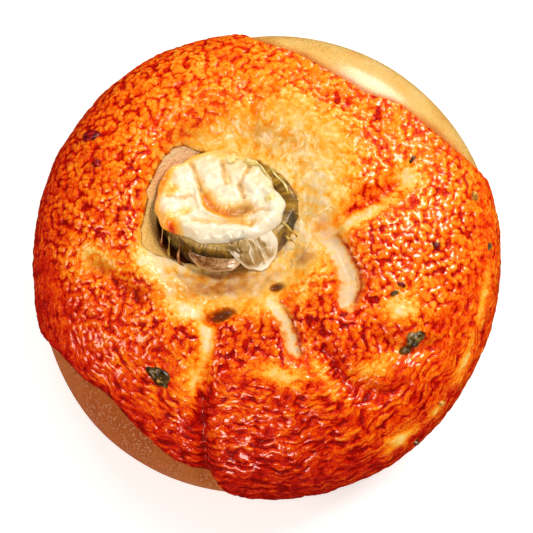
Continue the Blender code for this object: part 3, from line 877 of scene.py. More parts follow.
OUTER_POINTS, INNER_POINTS = 1000, 280
outer_way = compass(OUTER_POINTS)
crust_loops = [outer_reach(outer_way)[:, None] * towards(outer_way), inner_edge(INNER_POINTS)]
flat_points, faces, upper = closed_sheet(crust_loops, LATTICE, UNDER_LATTICE, seed=7)
way, length = polar(flat_points)
outside, inside = crust_edge_distances(flat_points)
inward = np.maximum(1 - outside / EDGE_ROUNDING, 1 - inside / HOLLOW_ROUNDING).clip(0, 1)
thickness = CHEESE * (0.15 + 0.85 * np.sqrt(1 - inward**2))
thickness = with_lines(thickness, flat_points, CREASES, -1)
bake, pale = crust_browning(flat_points)
ridge_share, ridge_start = round_the_compass(way, RIDGES, 1), round_the_compass(way, RIDGES, 2)
bare, deep, amber = np.zeros((3, len(flat_points)))
for line, half_width, steep in SLOTS.values():
    ragged = half_width + 0.18 * np.cos(flat_points @ (1.1, 1.9)) + 0.15 * np.cos(flat_points @ (-2.3, 0.9))
    off, side = distance_to_line(flat_points, line), distance_to_line(flat_points, steep)
    bare = np.maximum(bare, ease(off, ragged + 1.9, ragged - 1.2) * ease(side, 0.1, 0.5))
    # Painted shade along each slot's steep side
    deep = np.maximum(deep, 0.6 * np.exp(-((side / 0.55) ** 2)))
start, end, half_width, spacing = FLANK
run = np.subtract(end, start) / math.dist(start, end)
wave = np.cos(2 * math.pi * ((flat_points - start) @ run) / spacing)
wave *= near_line(flat_points, (start, end), half_width)
thickness += WRINKLE_HEIGHT * wave
# Painted light on the wrinkles' crests and painted shade between them
bake -= WRINKLE_BROWNING * wave
thickness = (thickness * (1 - 0.85 * bare)).clip(0.08)
seat = GAP * (1 - 0.8 * inward)
body = np.where(upper[:, None], skin(flat_points, seat + thickness), skin(flat_points, seat))
body[:, 2] -= FILM_DROOP * ease(beyond_socket(flat_points)[1], 0.3, -2.0)
# Painted shade in the pits
for *oval, depth in PITS.values():
    deep = np.maximum(deep, ease(spot(flat_points, *oval), 0.25, 0.85))
for *oval, share in AMBER.values():
    amber = np.maximum(amber, share * spot(flat_points, *oval))
soft = np.maximum(np.maximum(ease(pale, 0.2, 1.0), ease(bake, 0.32, 0.10)), bare)
turned_way = (way - RING_CUT) % (2 * math.pi)
crust = as_piece(
    "cheese_blanket", body, faces, crust_finish,
    flat=flat_points,
    around=np.column_stack([turned_way * RING_RADIUS, length]),
    ridged=ridge_share * ease(length, ridge_start, ridge_start + RIDGES_GROW),
    soft=soft, bare=bare, amber=amber, deep=deep, bake=bake, upper=upper,
)
shaped_by(
    crust, CRUST_RELIEF,
    blister_depth=0.42, ridge_depth=0.12, film_depth=0.75, broad_depth=0.9, finish=crust_finish,
)
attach(crust, "root")
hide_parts("cheese_crust")


# The slice of pepper ---------------------------------------------------------------------------------------
# A thick slice of pickled green pepper, pressed into the hollow and softened by the oven. It leans away
# from the eater, so that two sides of its wrinkled, glossy skin show between the cheese above and below.

SLICE_COLUMNS = 300
SLICE_FLARE = 1.06
# Its side view: (share of the outline, depth below the upper face)
SLICE_SIDE = (
    (0.0, 0.9), (0.35, 0.9), (0.70, 0.8), (0.82, 0.2), (0.93, 0.0), (0.99, 0.7), (1.01, 2.4),
    (1.035, 4.6), (SLICE_FLARE, 6.6), (1.04, 7.6), (0.97, SLICE_THICK), (0.5, SLICE_THICK),
    (0.0, SLICE_THICK),
)
# Darker and lighter places on its skin: (direction, width in degrees, depth, change). The darkest, at -17
# degrees, is painted shade for a hole in the wall.
PEPPER_SPOTS = (
    (-17, 7, 1.6, -0.40), (-38, 5, 2.0, 0.22), (-4, 3, 1.2, 0.20), (-27, 2.5, 2.5, 0.26),
    (42, 6, 0.6, 0.16), (62, 10, 0.8, 0.22), (-80, 9, 4.2, -0.22), (-112, 12, 3.6, -0.16),
    (-60, 6, 1.4, -0.12), (20, 5, 1.0, -0.20),
)
# The cheese on it: (direction, share of the slice that it covers, thickness at the rim)
CAP = (
    (-139, 0.96, 2.0), (-121, 0.86, 2.0), (-100, 0.80, 2.0), (-86, 0.78, 2.0), (-70, 0.83, 2.0),
    (-50, 0.92, 1.9), (-27, 0.90, 2.0), (-5, 0.80, 1.8), (20, 0.74, 1.3), (47, 0.79, 1.2),
    (75, 0.97, 1.2), (100, 1.05, 1.3), (130, 1.10, 1.5), (165, 1.09, 1.6), (190, 1.07, 1.7),
    (206, 1.04, 1.9),
)
# Wrinkles down its skin: (number round the slice, depth, turn)
WRINKLES = ((23, 0.24, 0.3), (37, 0.18, 2.0), (11, 0.22, 1.1), (61, 0.08, 4.0))
SIDE_PLACES = 54


def slice_outline(direction):
    ribs = 1 + 0.020 * np.cos(4 * direction + 0.4) + 0.010 * np.cos(9 * direction)
    return (ellipse(direction, SLICE_RADII) * ribs)[:, None] * towards(direction)


def on_slice(points):
    """Points given from the middle of the slice's upper face, moved to where it leans in the hollow."""
    leans_about = Vector((-math.sin(SLICE_LEANS_TO), math.cos(SLICE_LEANS_TO), 0))
    turn = np.array(Matrix.Rotation(SLICE_LEAN, 3, leans_about))
    return np.asarray(points) @ turn.T + (*SLICE_CENTRE, SLICE_LEVEL)


def rounded(places, run, values, reach):
    """Values along a run at these places, with corners rounded over this reach to either side."""
    return np.interp(places + np.array([[-reach], [0], [reach]]), run, values).mean(axis=0)


def eased_side(count):
    """The side view at more places, with its corners rounded."""
    side = np.array(SLICE_SIDE)
    steps = np.hypot(np.diff(side[:, 0]) * SLICE_RADII[0], np.diff(side[:, 1]))
    run = np.concatenate([[0], steps.cumsum()])
    return [rounded(np.linspace(0, run[-1], count), run, column, 0.5) for column in side.T]


pepper_finish, tree = new_material("pickled_pepper")
spread = own(tree, "around", "Vector")
streaks = noise(vector_calc("MULTIPLY", spread, (1.0, 0.35, 1.0)), 0.7, 3.0, 0.8)
tone = streaks * 0.6 + noise(spread, 0.22, 2.0) * 0.5 + own(tree, "lightness")
tone = ramp(tone, (
    (0.22, (26, 12, 0)), (0.40, (70, 40, 2)), (0.54, (118, 80, 8)), (0.68, (162, 118, 20)),
    (0.84, (206, 160, 56)), (1.0, (230, 198, 110)),
))
tone = mix(own(tree, "milky") * 0.75, tone, linear(206, 170, 100))
dress(pepper_finish, {
    "Base Color": mix(own(tree, "creeping") * 0.7, tone, linear(190, 134, 72)),
    "Roughness": streaks * 0.2 + 0.06,
    "Coat Weight": 0.5,
    "Coat Roughness": 0.08,
}, noise(spread, 1.1, 3.0, 0.5), 0.0012)

direction = compass(SLICE_COLUMNS)
shares, depths = eased_side(SIDE_PLACES)
rings, around, lightness, milky, creeping = [], [], [], [[1.0]], [[0.0]]
covered = round_the_compass(direction, CAP)
for share, depth in list(zip(shares, depths))[1:-1]:
    wall = float(ease(np.array(share), 0.93, 1.0) * ease(np.array(depth), 0.2, 1.6))
    fold = sum(amount * np.abs(np.cos(times * direction / 2 + turn + 0.25 * math.sin(depth + times)))
               for times, amount, turn in WRINKLES)
    outline = slice_outline(direction) * share
    outline -= wall * (fold - 0.1)[:, None] * towards(direction)
    rings.append(np.insert(outline, 2, -depth, axis=1))
    around.append(np.column_stack([direction * SLICE_RADII[0], np.full(SLICE_COLUMNS, depth * 1.6)]))
    # Darker down the wall, with painted shade in the grooves of its wrinkles and painted light on their ribs
    tint = 0.10 - 0.03 * depth - 0.35 * wall * (fold - 0.35)
    for towards_it, wide, deep, change in PEPPER_SPOTS:
        turn = (np.degrees(direction) - towards_it + 180) % 360 - 180
        tint = tint + change * np.exp(-((turn / wide) ** 2) - ((depth - deep) / 1.6) ** 2)
    lightness.append(tint + np.zeros(SLICE_COLUMNS))
    near_side = ease(-np.sin(direction), 0.1, 0.6)
    climb = depth + 0.5 * np.cos(7 * direction) + 0.3 * np.cos(17 * direction)
    creeping.append(near_side * ease(climb, 3.8, 5.8) * ease(np.cos(direction + 1.2), 0.2, 0.6))
    milky.append(near_side * ease(share - covered + 0.02 * np.cos(9 * direction) + 0.06 * wall, 0.13, -0.01))
top, bottom = (0, 0, -SLICE_SIDE[0][1]), (0, 0, -SLICE_THICK)
pepper = as_piece(
    "pepper", on_slice(np.vstack([[top], *rings, [bottom]])), turned_faces(len(rings), SLICE_COLUMNS),
    pepper_finish, around=np.vstack([[[0, 0]], *around, [[0, SLICE_THICK]]]),
    lightness=np.concatenate([[0.1], *lightness, [0.0]]), milky=np.concatenate([*milky, [0.0]]),
    creeping=np.concatenate([*creeping, [0.0]]),
)
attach(pepper, "root")
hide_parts("pepper_slice")


# The melted cheese on the slice ----------------------------------------------------------------------------
# A thick soft pool of white cheese on top of the pepper, with lumps where the shreds were, one thick roll
# along the near edge, a browned hollow in the middle and scorched spots at the left. It lies on the slice.

CAP_LATTICE, CAP_UNDER_LATTICE = 0.27, 2.0
CAP_POINTS = 260
CAP_MIDDLE = 1.45
CAP_CEILING = 41.3
# Lumps and dips: (middle, size along, size across, turn, height)
LUMPS = {
    "west": ((-12.6, -0.6), 2.6, 3.0, 0, 0.6),
    "north_west": ((-10.2, 6.0), 3.0, 2.4, 40, 0.9),
    "north": ((-3.8, 7.4), 2.6, 2.3, 0, 1.0),
    "north_east": ((3.6, 5.6), 2.4, 2.0, -30, 0.8),
    "east": ((5.8, 1.8), 1.5, 2.8, 20, 0.9),
    "middle": ((0.6, 2.6), 2.4, 1.5, -10, 0.9),
    "east_blob": ((9.0, -6.4), 2.9, 2.4, 20, 1.5),
    "yellow_lump": ((-9.2, -3.0), 2.4, 2.0, 0, 0.5),
    "yellow_dip": ((-9.6, -2.9), 1.0, 0.7, 20, -0.5),
    "far_dip": ((-6.6, 5.4), 0.7, 3.0, 8, -0.9),
    "far_east_dip": ((-0.2, 6.4), 0.6, 2.6, 14, -0.7),
    "east_dip": ((3.4, 3.4), 0.6, 2.6, 40, -0.7),
    "brown_dip": ((-12.8, 3.2), 1.4, 1.1, 40, -0.6),
    "scorched_dip": ((-13.0, -6.6), 1.3, 1.6, 20, -0.8),
}
# Rolls and furrows: (points along it, half width, height)
ROLLS = {
    "near_roll": (((-9.4, -7.8), (-5, -8.2), (-0.6, -8.6), (3.2, -9.2), (6.4, -10.8)), 1.7, 1.5),
    "near_furrow": (((-7.8, -5.2), (-3, -5.8), (2.6, -6.1), (5.4, -7.2)), 0.8, -1.2),
    "thin_roll": (
        ((-7.3, 3.6), (-6.9, 0.6), (-5.9, -2.0), (-3.6, -4.0), (0.0, -5.3), (4.2, -5.2)), 0.55, 0.8,
    ),
    "crescent": (((-5.4, 2.4), (-4.4, -0.4), (-2.0, -2.5), (1.0, -3.3), (3.6, -2.6)), 1.25, -1.1),
    "east_roll": (((7.6, 3.6), (9.6, 0.6), (10.4, -2.2)), 0.9, 0.9),
    "north_west_crease": (((-8.4, 9.8), (-7.2, 6.0), (-6.2, 3.2)), 0.5, -1.1),
    "north_crease": (((-1.6, 10.4), (-1.2, 7.0), (-0.8, 4.6)), 0.45, -0.9),
    "north_east_crease": (((4.6, 9.0), (3.2, 6.2), (2.4, 4.2), (3.4, 1.0)), 0.5, -1.0),
    "west_crease": (((-14.0, 1.2), (-11.2, 0.8), (-8.8, 1.8)), 0.5, -0.7),
    "blob_crease": (((5.8, -3.6), (7.6, -2.9), (9.2, -3.4)), 0.5, -0.9),
}
# Browning of the cap: (middle, size along, size across, turn, change)
CAP_SPOTS = {
    "west_rim": ((-15.6, 4.0), 1.3, 5.5, -18, 0.26),
    "north_rim": ((-9.6, 11.6), 5.0, 1.2, 28, 0.28),
    "far_rim": ((0.5, 12.6), 5.5, 1.4, -8, 0.16),
    "near_west_rim": ((-15.9, -3.5), 0.9, 3.5, 8, 0.16),
    "orange_rim": ((-14.2, 6.2), 1.1, 2.2, -30, 0.20),
    "brown_spot": ((-12.8, 3.0), 1.5, 1.1, 40, 0.24),
    "scorched": ((-12.9, -6.8), 1.7, 2.6, 24, 0.42),
    "scorched_core": ((-12.5, -7.2), 0.5, 0.9, 30, 0.30),
    "yellow": ((-9.4, -2.9), 1.7, 1.1, 20, 0.13),
    "near_west": ((-11.4, -8.2), 1.6, 1.0, -30, 0.12),
    "under_blob": ((4.5, -6.6), 2.6, 0.8, -8, 0.12),
}
# Browned lines: (points along it, half width, change in browning, share of tan)
CAP_STREAKS = {
    "crescent": (((-5.2, 2.0), (-4.2, -0.4), (-2.4, -2.2), (0.0, -3.3)), 0.9, 0.30, 0.45),
    "crescent_right": (((1.0, -3.2), (3.2, -2.8), (4.6, -2.6)), 1.7, 0.10, 0.85),
    "crescent_rim": (((-5.9, 2.0), (-5.2, -1.0), (-3.0, -3.6), (0.2, -5.1), (4.4, -5.0)), 0.4, 0.22, 0.3),
}
CAP_LIFT, CAP_ROUNDING = 1.5, 2.4  # how far the dough can lift it, and the width of its rim
way_round = compass(CAP_POINTS)


def cap_share(direction):
    """How much of the slice the cap covers in each direction."""
    lobes = 0.016 * np.cos(7 * direction + 1) + 0.012 * np.cos(12 * direction)
    lobes += 0.008 * np.cos(19 * direction + 2)
    return round_the_compass(direction, CAP) * (1 + lobes)


cap_loop = slice_outline(way_round) * cap_share(way_round)[:, None]
cap_flat, faces, upper = closed_sheet([cap_loop], CAP_LATTICE, CAP_UNDER_LATTICE, seed=3)
direction, distance = polar(cap_flat)
own_reach = np.linalg.norm(slice_outline(direction), axis=1)
reach = own_reach * cap_share(direction)
slice_share, slice_depth = np.transpose(SLICE_SIDE[:5])
under = GAP * (1 - 0.8 * ease(distance / reach, 0.9, 1.0))
under -= np.interp(distance / own_reach, slice_share, slice_depth)
rim_share = ease(distance / reach, 0.25, 0.75)
thickness = CAP_MIDDLE * (1 - rim_share) + round_the_compass(direction, CAP, 2) * rim_share
thickness = with_spots(thickness, cap_flat, LUMPS)
tan = np.zeros(len(cap_flat))
for line, half_width, rise in ROLLS.values():
    near = near_line(cap_flat, line, half_width)
    thickness += rise * near
    # Painted shade: a tan tint along the furrows and creases
    tan = np.maximum(tan, 0.3 * near * (-1.2 < rise < 0))
# Warmer where the cheese is thin, in the dips: painted shade
bake = 0.01 + 0.07 * ease(thickness, CAP_MIDDLE + 0.6, CAP_MIDDLE - 0.8)
bake = with_spots(bake, cap_flat, CAP_SPOTS)
inward = (1 - (reach - distance) / CAP_ROUNDING).clip(0, 1)
thickness *= 0.10 + 0.90 * np.sqrt(1 - inward**2)
for line, half_width, change, tan_share in CAP_STREAKS.values():
    near = near_line(cap_flat, line, half_width)
    bake += change * near
    tan = np.maximum(tan, tan_share * near)

cap_finish, tree = new_material("melted_cheese")
flat, baked = own(tree, "flat", "Vector"), own(tree, "bake")
speckle = noise(flat, 3.0, 2.0) - 0.5
level = baked + ((noise(flat, 0.35, 3.0) - 0.5) * 0.10 + speckle * baked)
tone = mix(eased(level, 0.10, -0.02), use_group(BROWNED, Level=level), linear(245, 234, 208))
# Tan on the crescent, with painted shade along the furrows and creases
tanned = calc("MULTIPLY", own(tree, "tan"), speckle * 1.6 + 1.0, clamp=True)
dress(cap_finish, {
    "Base Color": mix(tanned, tone, linear(190, 124, 56)),
    "Roughness": noise(flat, 0.8, 2.0) * 0.22 + 0.14,
    "Coat Weight": 0.5,
    "Coat Roughness": 0.08,
    "Subsurface Weight": 0.15,
    "Subsurface Radius": (1.0, 0.7, 0.4),
    "Subsurface Scale": 0.0015,
}, use_group(GRAIN, Vector=flat, Size=0.8)["Height"], 0.0003, 0.35)


def soft_lumps(given, stored):
    flat = stored("flat", "FLOAT_VECTOR")
    lumps = noise(flat, calc("DIVIDE", 1.0, given["Lump size"]), 1.0, 0.6) - 0.5
    wrinkles = noise(flat, 1.0, 2.0, 1.5) - 0.5
    return lumps * given["Lump height"] + wrinkles * given["Wrinkle depth"]


SOFT_LUMPS = relief_tree(
    "soft lumps", {"Lump size": 4.0, "Lump height": 0.4, "Wrinkle depth": 0.08}, soft_lumps
)
inside = upper & (distance < reach - 0.6)
level = under + np.where(upper, thickness.clip(0.1), 0)
body = on_slice(np.column_stack([cap_flat, level]))
ground = skin(body[:, :2], GAP)[:, 2]
over = on_slice(np.column_stack([cap_flat, under]))[:, 2]
body[:, 2] += (ground - over).clip(0, CAP_LIFT) * ease(beyond_socket(body[:, :2])[1], -1.4, -0.4)
body[:, 2] = smooth_min(body[:, 2], CAP_CEILING, 0.6)
cap = as_piece(
    "melted_cap", body, faces, cap_finish, flat=cap_flat, bake=bake.clip(0, 1), tan=tan, upper=inside
)
shaped_by(cap, SOFT_LUMPS, lump_size=2.8, lump_height=1.3, wrinkle_depth=0.4, finish=cap_finish)
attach(cap, "root")
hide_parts("melted_cheese")


# The cheese that ran over the slice's edge -----------------------------------------------------------------
# Thin sheets stuck to the pepper's skin. A milky one hangs from the cap at the near right and ends on the
# crust; a brown, wrinkled one curls out below the thick roll.

# (from, to, thickness, how far down it reaches at each end, points from the rim of the slice down)
# Each of those points is (out from the slice, depth) or, on the crust, (out from the slice, None).
SHEETS = {
    "milky": (
        -88, -40, 0.7, (0.55, 1.0),
        ((-1.6, -1.2), (-0.3, -0.3), (0.5, 1.8), (0.8, 3.4), (1.6, None), (3.4, None)),
    ),
    "brown": (-128, -78, 0.5, (0.8, 1.0), ((0.1, 1.6), (0.4, 2.2), (1.0, 3.0), (1.5, 3.8), (1.6, 4.6))),
}
SHEET_COLOURS = {
    "milky": ((128, 92, 44), (190, 156, 102), (244, 232, 206)),
    "brown": ((112, 66, 28), (158, 108, 62), (208, 166, 120)),
}
SHEET_COLUMNS, SHEET_ROWS = 90, 40
CRUST_DEPTH = 4.0  # how far below the slice's upper face the crust meets its side


def beside_slice(direction, out, depth):
    share = np.interp(depth, *np.transpose(SLICE_SIDE[4:9])[::-1])
    flat = slice_outline(direction) * share + out * towards(direction)
    return on_slice(np.insert(flat, 2, -depth, axis=1))


def on_crust(direction, out):
    beside = beside_slice(direction, out, CRUST_DEPTH)[:, :2]
    return skin(beside, GAP + CHEESE)


def round_loops(outer, inner):
    """The points of a sheet's two faces, in loops round it. Its first and last columns end in a point."""
    loops = np.concatenate([outer, inner[::-1]]).transpose(1, 0, 2)
    return np.vstack([loops[0].mean(axis=0), *loops[1:-1], loops[-1].mean(axis=0)])


def sheet_body(middle, thickness):
    """A closed thin body round rows and columns of points."""
    along, down = np.gradient(middle, axis=1), np.gradient(middle, axis=0)
    normal = np.cross(down, along)
    normal /= np.linalg.norm(normal, axis=2, keepdims=True)
    points = round_loops(*(middle + side * thickness[..., None] * normal for side in (0.5, -0.5)))
    faces = turned_faces(middle.shape[1] - 2, 2 * len(middle))
    first, second, third = (points[[face[corner] for face in faces]] for corner in range(3))
    inside_out = np.einsum("ij,ij->i", first, np.cross(second, third)).sum() < 0
    return points, [face[::-1] for face in faces] if inside_out else faces


def sheet_finish(name, colours):
    made, tree = new_material(name + "_sheet")
    flat = own(tree, "flat", "Vector")
    mottle = noise(vector_calc("MULTIPLY", flat, (1.0, 0.5, 1.0)), 0.8, 2.0, 0.8)
    tone = ramp(mottle + (own(tree, "place") * 0.40 + -0.20), tuple(zip((0.3, 0.5, 0.7), colours)))
    dress(made, {
        "Base Color": mix(own(tree, "rim"), tone, linear(*colours[2])),
        "Roughness": mottle * 0.2 + 0.05,
        "Coat Weight": 0.8,
        "Coat Roughness": 0.06,
    }, off_lines(flat, 0.7), 0.0003, 0.15)
    return made


share, across = np.linspace(0, 1, SHEET_ROWS), np.linspace(0, 1, SHEET_COLUMNS)
for name, (start, end, thick, reaches, run) in SHEETS.items():
    direction = np.radians(np.linspace(start, end, SHEET_COLUMNS))
    stops = np.array([
        on_crust(direction, out) if depth is None else beside_slice(direction, out, depth)
        for out, depth in run
    ])
    steps = np.linalg.norm(np.diff(stops, axis=0), axis=2)
    lengths = np.vstack([np.zeros(SHEET_COLUMNS), steps.cumsum(axis=0)])
    bulge = np.sin(np.linspace(0.06, math.pi - 0.06, SHEET_COLUMNS)) ** 0.45
    reach = (np.interp(ease(across, 0.0, 0.55), (0, 1), reaches) + 0.03 * np.cos(23 * across)) * bulge
    middle = np.empty((SHEET_ROWS, SHEET_COLUMNS, 3))
    for column in range(SHEET_COLUMNS):
        places = share * reach[column].clip(0, 1) * lengths[-1, column]
        for axis in range(3):
            middle[:, column, axis] = rounded(places, lengths[:, column], stops[:, column, axis], 0.6)
    ends = np.sin(math.pi * across) ** 0.35
    edges = np.sin(np.linspace(0.15, math.pi - 0.15, SHEET_ROWS)) ** 0.35
    points, faces = sheet_body(middle, thick * edges[:, None] * ends)
    grid = np.stack(np.meshgrid(direction * SLICE_RADII[0], share * 8), axis=-1)
    flat = round_loops(grid, grid)
    finish = sheet_finish(name, SHEET_COLOURS[name])
    place = (np.degrees(flat[:, 0] / SLICE_RADII[0]) - start) / (end - start)
    rim = np.maximum(ease(flat[:, 1], 6.0, 7.6), ease(place, 0.72, 0.95))
    upper = np.ones(len(flat))
    sheet = as_piece(name + "_sheet", points, faces, finish, flat=flat, rim=rim, place=place, upper=upper)
    shaped_by(sheet, SOFT_LUMPS, lump_size=2.4, lump_height=0.12, wrinkle_depth=0.0, finish=finish)
    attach(sheet, "root")


# The strands ------------------------------------------------------------------------------------------------
# Fibres of the pepper and strings of cheese, drawn out round the slice: pale ones along its far edge, golden
# ones down its right side, and brown ones across the gap at the near left.

# (points from the middle of the slice's upper face, radius, colour)
STRANDS = {
    "far_edge": (((6.6, 12.0, -0.1), (9.4, 9.0, 0.0), (11.8, 5.6, 0.1), (13.8, 1.8, 0.0)), 0.32, "pale"),
    "far_edge_inner": (((4.6, 11.6, 0.6), (7.8, 8.6, 0.7), (9.8, 5.2, 0.7)), 0.28, "pale"),
    "right_one": (((11.8, -6.0, 0.4), (14.0, -7.0, -1.0), (15.4, -7.8, -3.8)), 0.34, "golden"),
    "right_two": (((13.0, -1.8, 0.0), (15.2, -2.2, -1.6), (16.0, -2.8, -4.6)), 0.36, "golden"),
    "right_three": (((12.8, -9.0, -0.6), (14.6, -9.6, -2.4), (15.4, -10.2, -5.0)), 0.30, "golden"),
    "right_four": (((14.4, 1.6, -0.4), (15.8, 1.0, -2.0), (16.2, 0.6, -4.4)), 0.30, "pale"),
    "gap_one": (((-14.4, -5.2, 0.0), (-15.6, -7.6, -2.6), (-15.2, -10.6, -5.6)), 0.28, "brown"),
    "gap_two": (((-13.2, -8.0, -0.4), (-13.9, -10.0, -3.4), (-12.8, -12.8, -6.4)), 0.30, "golden"),
    "gap_three": (((-11.0, -9.8, -0.8), (-11.6, -12.2, -3.6), (-9.6, -14.2, -6.2)), 0.34, "brown"),
}
STRAND_COLOURS = {
    "pale": ((196, 176, 84), (226, 212, 140), (240, 230, 186)),
    "golden": ((120, 82, 14), (176, 134, 36), (214, 184, 96)),
    "brown": ((90, 34, 12), (148, 76, 30), (204, 144, 84)),
}


def mottled_finish(name, colours, stops, per_metre, smoothest, depth, strength=0.5):
    """A shiny skin mottled in three colours, from dark to light."""
    made, tree = new_material(name)
    mottle = noise(add_node("ShaderNodeTexCoord", tree=tree)["Object"], per_metre, 3.0)
    colour = ramp(mottle, tuple(zip(stops, colours)))
    dress(made, {"Base Color": colour, "Roughness": mottle * 0.3 + smoothest}, mottle, depth, strength)
    return made


strand_finishes = {
    name: mottled_finish("strand_" + name, colours, (0.35, 0.5, 0.65), 700.0, 0.05, 0.0003)
    for name, colours in STRAND_COLOURS.items()
}
STRAND_ROWS, STRAND_SIDES = 40, 10
for number, (name, (stops, radius, colour)) in enumerate(STRANDS.items()):
    places = np.linspace(0, len(stops) - 1, STRAND_ROWS)
    path = np.transpose([rounded(places, range(len(stops)), column, 0.3) for column in zip(*stops)])
    ahead = np.gradient(path, axis=0)
    sideways = np.cross(ahead, (0, 0, 1))
    sideways /= np.linalg.norm(sideways, axis=1, keepdims=True)
    upright = np.cross(sideways, ahead)
    upright /= np.linalg.norm(upright, axis=1, keepdims=True)
    path += (0.18 * np.cos(places * 4 + number))[:, None] * sideways
    thick = radius * (0.75 + 0.25 * np.cos(places * 5 + number))
    thick *= np.sin(np.linspace(0.2, math.pi - 0.2, STRAND_ROWS)) ** 0.3
    rings = [
        middle + across * (math.cos(turn) * side + math.sin(turn) * up)
        for middle, side, up, across in zip(path, sideways, upright, thick)
        for turn in compass(STRAND_SIDES)
    ]
    points = on_slice(np.array([path[0], *rings, path[-1]]))
    faces = turned_faces(STRAND_ROWS, STRAND_SIDES)
    strand = as_piece("strand_" + name, points, faces, strand_finishes[colour])
    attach(strand, "root")


# The flecks of pepper ---------------------------------------------------------------------------------------
# Chips of green pepper skin and red chilli that were scattered in the cheese and baked into it. Each lies
# half sunk, dark and shiny.

# (middle, length, width, turn, colour)
FLECKS = {
    "south_west": ((-23.6, -28.2), 6.6, 3.2, -52, "green"),
    "south_west_middle": ((-23.2, -29.0), 2.4, 1.7, -60, "gold"),
    "east": ((33.6, -20.4), 4.6, 3.6, 60, "green"),
    "east_low": ((31.6, -23.2), 2.6, 1.8, 20, "green"),
    "north_east": ((32.0, 20.5), 2.2, 1.1, 50, "brown"),
    "north_west": ((-40.0, 27.5), 4.8, 3.4, -25, "red"),
    "north_west_low": ((-38.0, 20.0), 2.6, 1.6, -20, "red"),
    "far_east": ((47.5, 14.0), 2.6, 1.6, 80, "gold"),
    "east_red": ((38.0, 1.0), 2.2, 1.5, 20, "red"),
    "east_small_red": ((30.0, -8.5), 2.2, 1.2, -30, "red"),
    "east_small_dark": ((28.5, -10.5), 1.8, 1.2, 20, "green"),
    "rim": ((52.0, 2.5), 2.0, 1.2, 80, "green"),
    "south_east": ((41.5, -35.0), 1.6, 1.1, 40, "gold"),
    "south_rim": ((37.0, -45.5), 1.6, 1.0, 10, "brown"),
}
FLECK_THICK = 1.5
FLECK_COLOURS = {
    "green": ((32, 20, 8), (82, 60, 26), (140, 112, 58)),
    "red": ((48, 4, 10), (120, 8, 14), (190, 24, 16)),
    "gold": ((120, 70, 14), (190, 130, 40), (226, 180, 88)),
    "brown": ((52, 20, 8), (110, 56, 20), (170, 110, 56)),
}

CHIP_COLUMNS, CHIP_RINGS = 40, 18
CHIP_SUNK = 0.15  # how deep a chip's middle lies in the cheese


def chip_shape(length, width, thick, seed):
    """A curled, crumpled chip: points round its middle, and faces."""
    direction = compass(CHIP_COLUMNS)
    uneven = np.random.default_rng(seed).uniform(0, 2 * math.pi, 4)
    reach = 1 + 0.16 * np.cos(2 * direction + uneven[0]) + 0.12 * np.cos(3 * direction + uneven[1])
    reach += 0.08 * np.cos(5 * direction + uneven[2])
    points = [(0, 0, thick / 2)]
    for turn in np.linspace(0, math.pi, CHIP_RINGS + 2)[1:-1]:
        out = math.sin(turn) ** 0.7 * reach
        across, along = out * np.cos(direction) * length / 2, out * np.sin(direction) * width / 2
        curl = 0.10 * thick * np.cos(3 * direction + uneven[3]) * out
        curl -= 0.25 * thick * (across / length * 2) ** 2
        points += zip(across, along, thick / 2 * math.cos(turn) + curl)
    points.append((0, 0, -thick / 2))
    return np.array(points), turned_faces(CHIP_RINGS, CHIP_COLUMNS)


def laid_on_cheese(points, middle, turn, lift):
    """Lays a shape, made round the origin, flat on the cheese at this place and turn."""
    seat, under = skin(np.array([middle]), lift)[0], skin(np.array([middle]))[0]
    upright = Vector(seat - under).normalized()
    ahead = Vector(skin(np.array([middle]) + towards(math.radians(turn)), lift)[0] - seat)
    sideways = upright.cross(ahead).normalized()
    axes = np.array((sideways.cross(upright), sideways, upright))
    return points @ axes + seat


fleck_finishes = {
    name: mottled_finish("fleck_" + name, colours, (0.35, 0.52, 0.68), 900.0, 0.05, 0.0004)
    for name, colours in FLECK_COLOURS.items()
}
for number, (name, (middle, length, width, turn, colour)) in enumerate(FLECKS.items()):
    points, faces = chip_shape(length, width, FLECK_THICK, number)
    placed = laid_on_cheese(points, middle, turn, GAP + CHEESE - CHIP_SUNK)
    fleck = as_piece("fleck_" + name, placed, faces, fleck_finishes[colour])
    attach(fleck, "root")


# The seeds -------------------------------------------------------------------------------------------------
# Flat pale seeds of the pepper, sunk in the cheese on the slice near its far edge.

# (place from the middle of the slice's upper face, length, width, turn)
SEEDS = {
    "far": ((0.6, 11.0, 1.5), 3.2, 2.0, 5),
    "far_right": ((5.0, 10.0, 1.3), 3.2, 1.7, -18),
    "right": ((9.7, -0.4, 1.9), 2.4, 2.6, 10),
}
SEED_THICK, FIRST_SEED_SHAPE = 1.1, 40
SEED_COLOURS = ((206, 176, 84), (232, 212, 136), (242, 232, 186))
seed_finish = mottled_finish("pepper_seed", SEED_COLOURS, (0.35, 0.5, 0.68), 500.0, 0.1, 0.0003, 0.3)
for number, (name, (place, length, width, turn)) in enumerate(SEEDS.items()):
    points, faces = chip_shape(length, width, SEED_THICK, FIRST_SEED_SHAPE + number)
    turned = points @ np.array(Matrix.Rotation(math.radians(turn), 3, "Z")).T
    seed = as_piece("seed_" + name, on_slice(turned + place), faces, seed_finish)
    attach(seed, "root")


# The stage ------------------------------------------------------------------------------------------------
# A pale floor that glows a little, a dim white room, five soft lamps with a slightly warm light, and the
# camera, which looks down steeply from the eater's side.

FLOOR_HALF = 3000  # mm
floor_finish, tree = new_material("pale_floor")
dress(floor_finish, {
    "Base Color": (0.80, 0.80, 0.80, 1), "Roughness": 0.9,
    "Emission Color": (1, 1, 1, 1), "Emission Strength": 0.50,
})
corners = [(a * FLOOR_HALF, b * FLOOR_HALF, 0) for a, b in ((-1, -1), (1, -1), (1, 1), (-1, 1))]
floor = as_piece("floor", corners, [(0, 1, 2, 3)], floor_finish)
floor.visible_glossy = False  # so that only the lamps show in the gloss

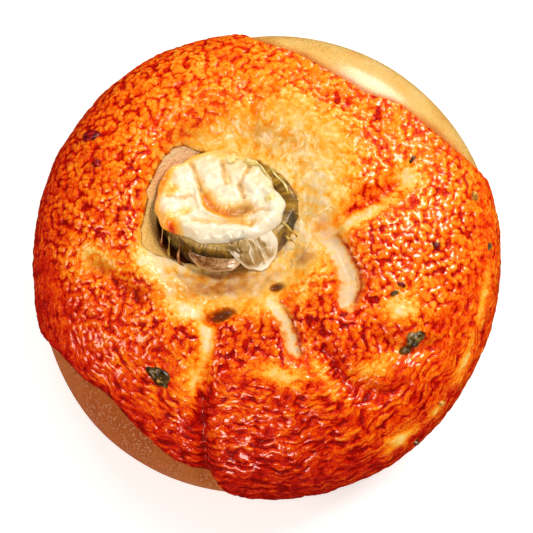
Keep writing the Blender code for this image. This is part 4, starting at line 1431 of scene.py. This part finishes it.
world = bpy.data.worlds.new("soft light")
bpy.context.scene.world = world
world.use_nodes = True
feed(world.node_tree.nodes["Background"].inputs["Color"], (1, 1, 1, 1))
feed(world.node_tree.nodes["Background"].inputs["Strength"], 0.30)
world.cycles_visibility.glossy = False  # the room is dark in the gloss too

aim = Vector((0, 0, 0.02))
# Lamps: (direction, elevation, distance in metres, size, power, colour)
LAMPS = {
    "key": (35, 48, 0.75, 0.28, 3.6, (1.0, 0.97, 0.91)),
    "low_back": (64, 14, 0.85, 0.26, 1.9, (1.0, 0.98, 0.95)),
    "left": (192, 44, 0.75, 0.24, 1.25, (1.0, 0.93, 0.80)),
    "near": (-96, 40, 0.75, 0.20, 1.2, (1.0, 0.95, 0.86)),
    "far": (112, 58, 0.75, 0.26, 1.15, (1.0, 0.96, 0.88)),
}
for name, (direction, elevation, distance, size, power, colour) in LAMPS.items():
    lamp_data = bpy.data.lights.new(name, "AREA")
    lamp_data.size, lamp_data.energy, lamp_data.color = size, power, colour
    lamp = bpy.data.objects.new(name, lamp_data)
    level = math.radians(elevation)
    flat_way = towards(math.radians(direction)) * math.cos(level)
    lamp.location = aim + distance * Vector((*flat_way, math.sin(level)))
    lamp.rotation_euler = (aim - lamp.location).to_track_quat("-Z", "Y").to_euler()
    bpy.context.scene.collection.objects.link(lamp)

CAMERA_DISTANCE, CAMERA_ELEVATION = 0.8, math.radians(78)
PIXELS, FOCAL_PIXELS, SENSOR = 533, 3489, 36
camera_data = bpy.data.cameras.new("camera")
camera_data.sensor_width = SENSOR
camera_data.lens = FOCAL_PIXELS * SENSOR / PIXELS
camera_data.shift_x, camera_data.shift_y = -1 / PIXELS, -2 / PIXELS
camera = bpy.data.objects.new("camera", camera_data)
up_and_back = Vector((0, -math.cos(CAMERA_ELEVATION), math.sin(CAMERA_ELEVATION)))
camera.location = aim + CAMERA_DISTANCE * up_and_back
camera.rotation_euler = (math.pi / 2 - CAMERA_ELEVATION, 0, 0)
bpy.context.scene.collection.objects.link(camera)
bpy.context.scene.camera = camera
bpy.context.scene.view_settings.view_transform = "Standard"  # so that colours show as they are given
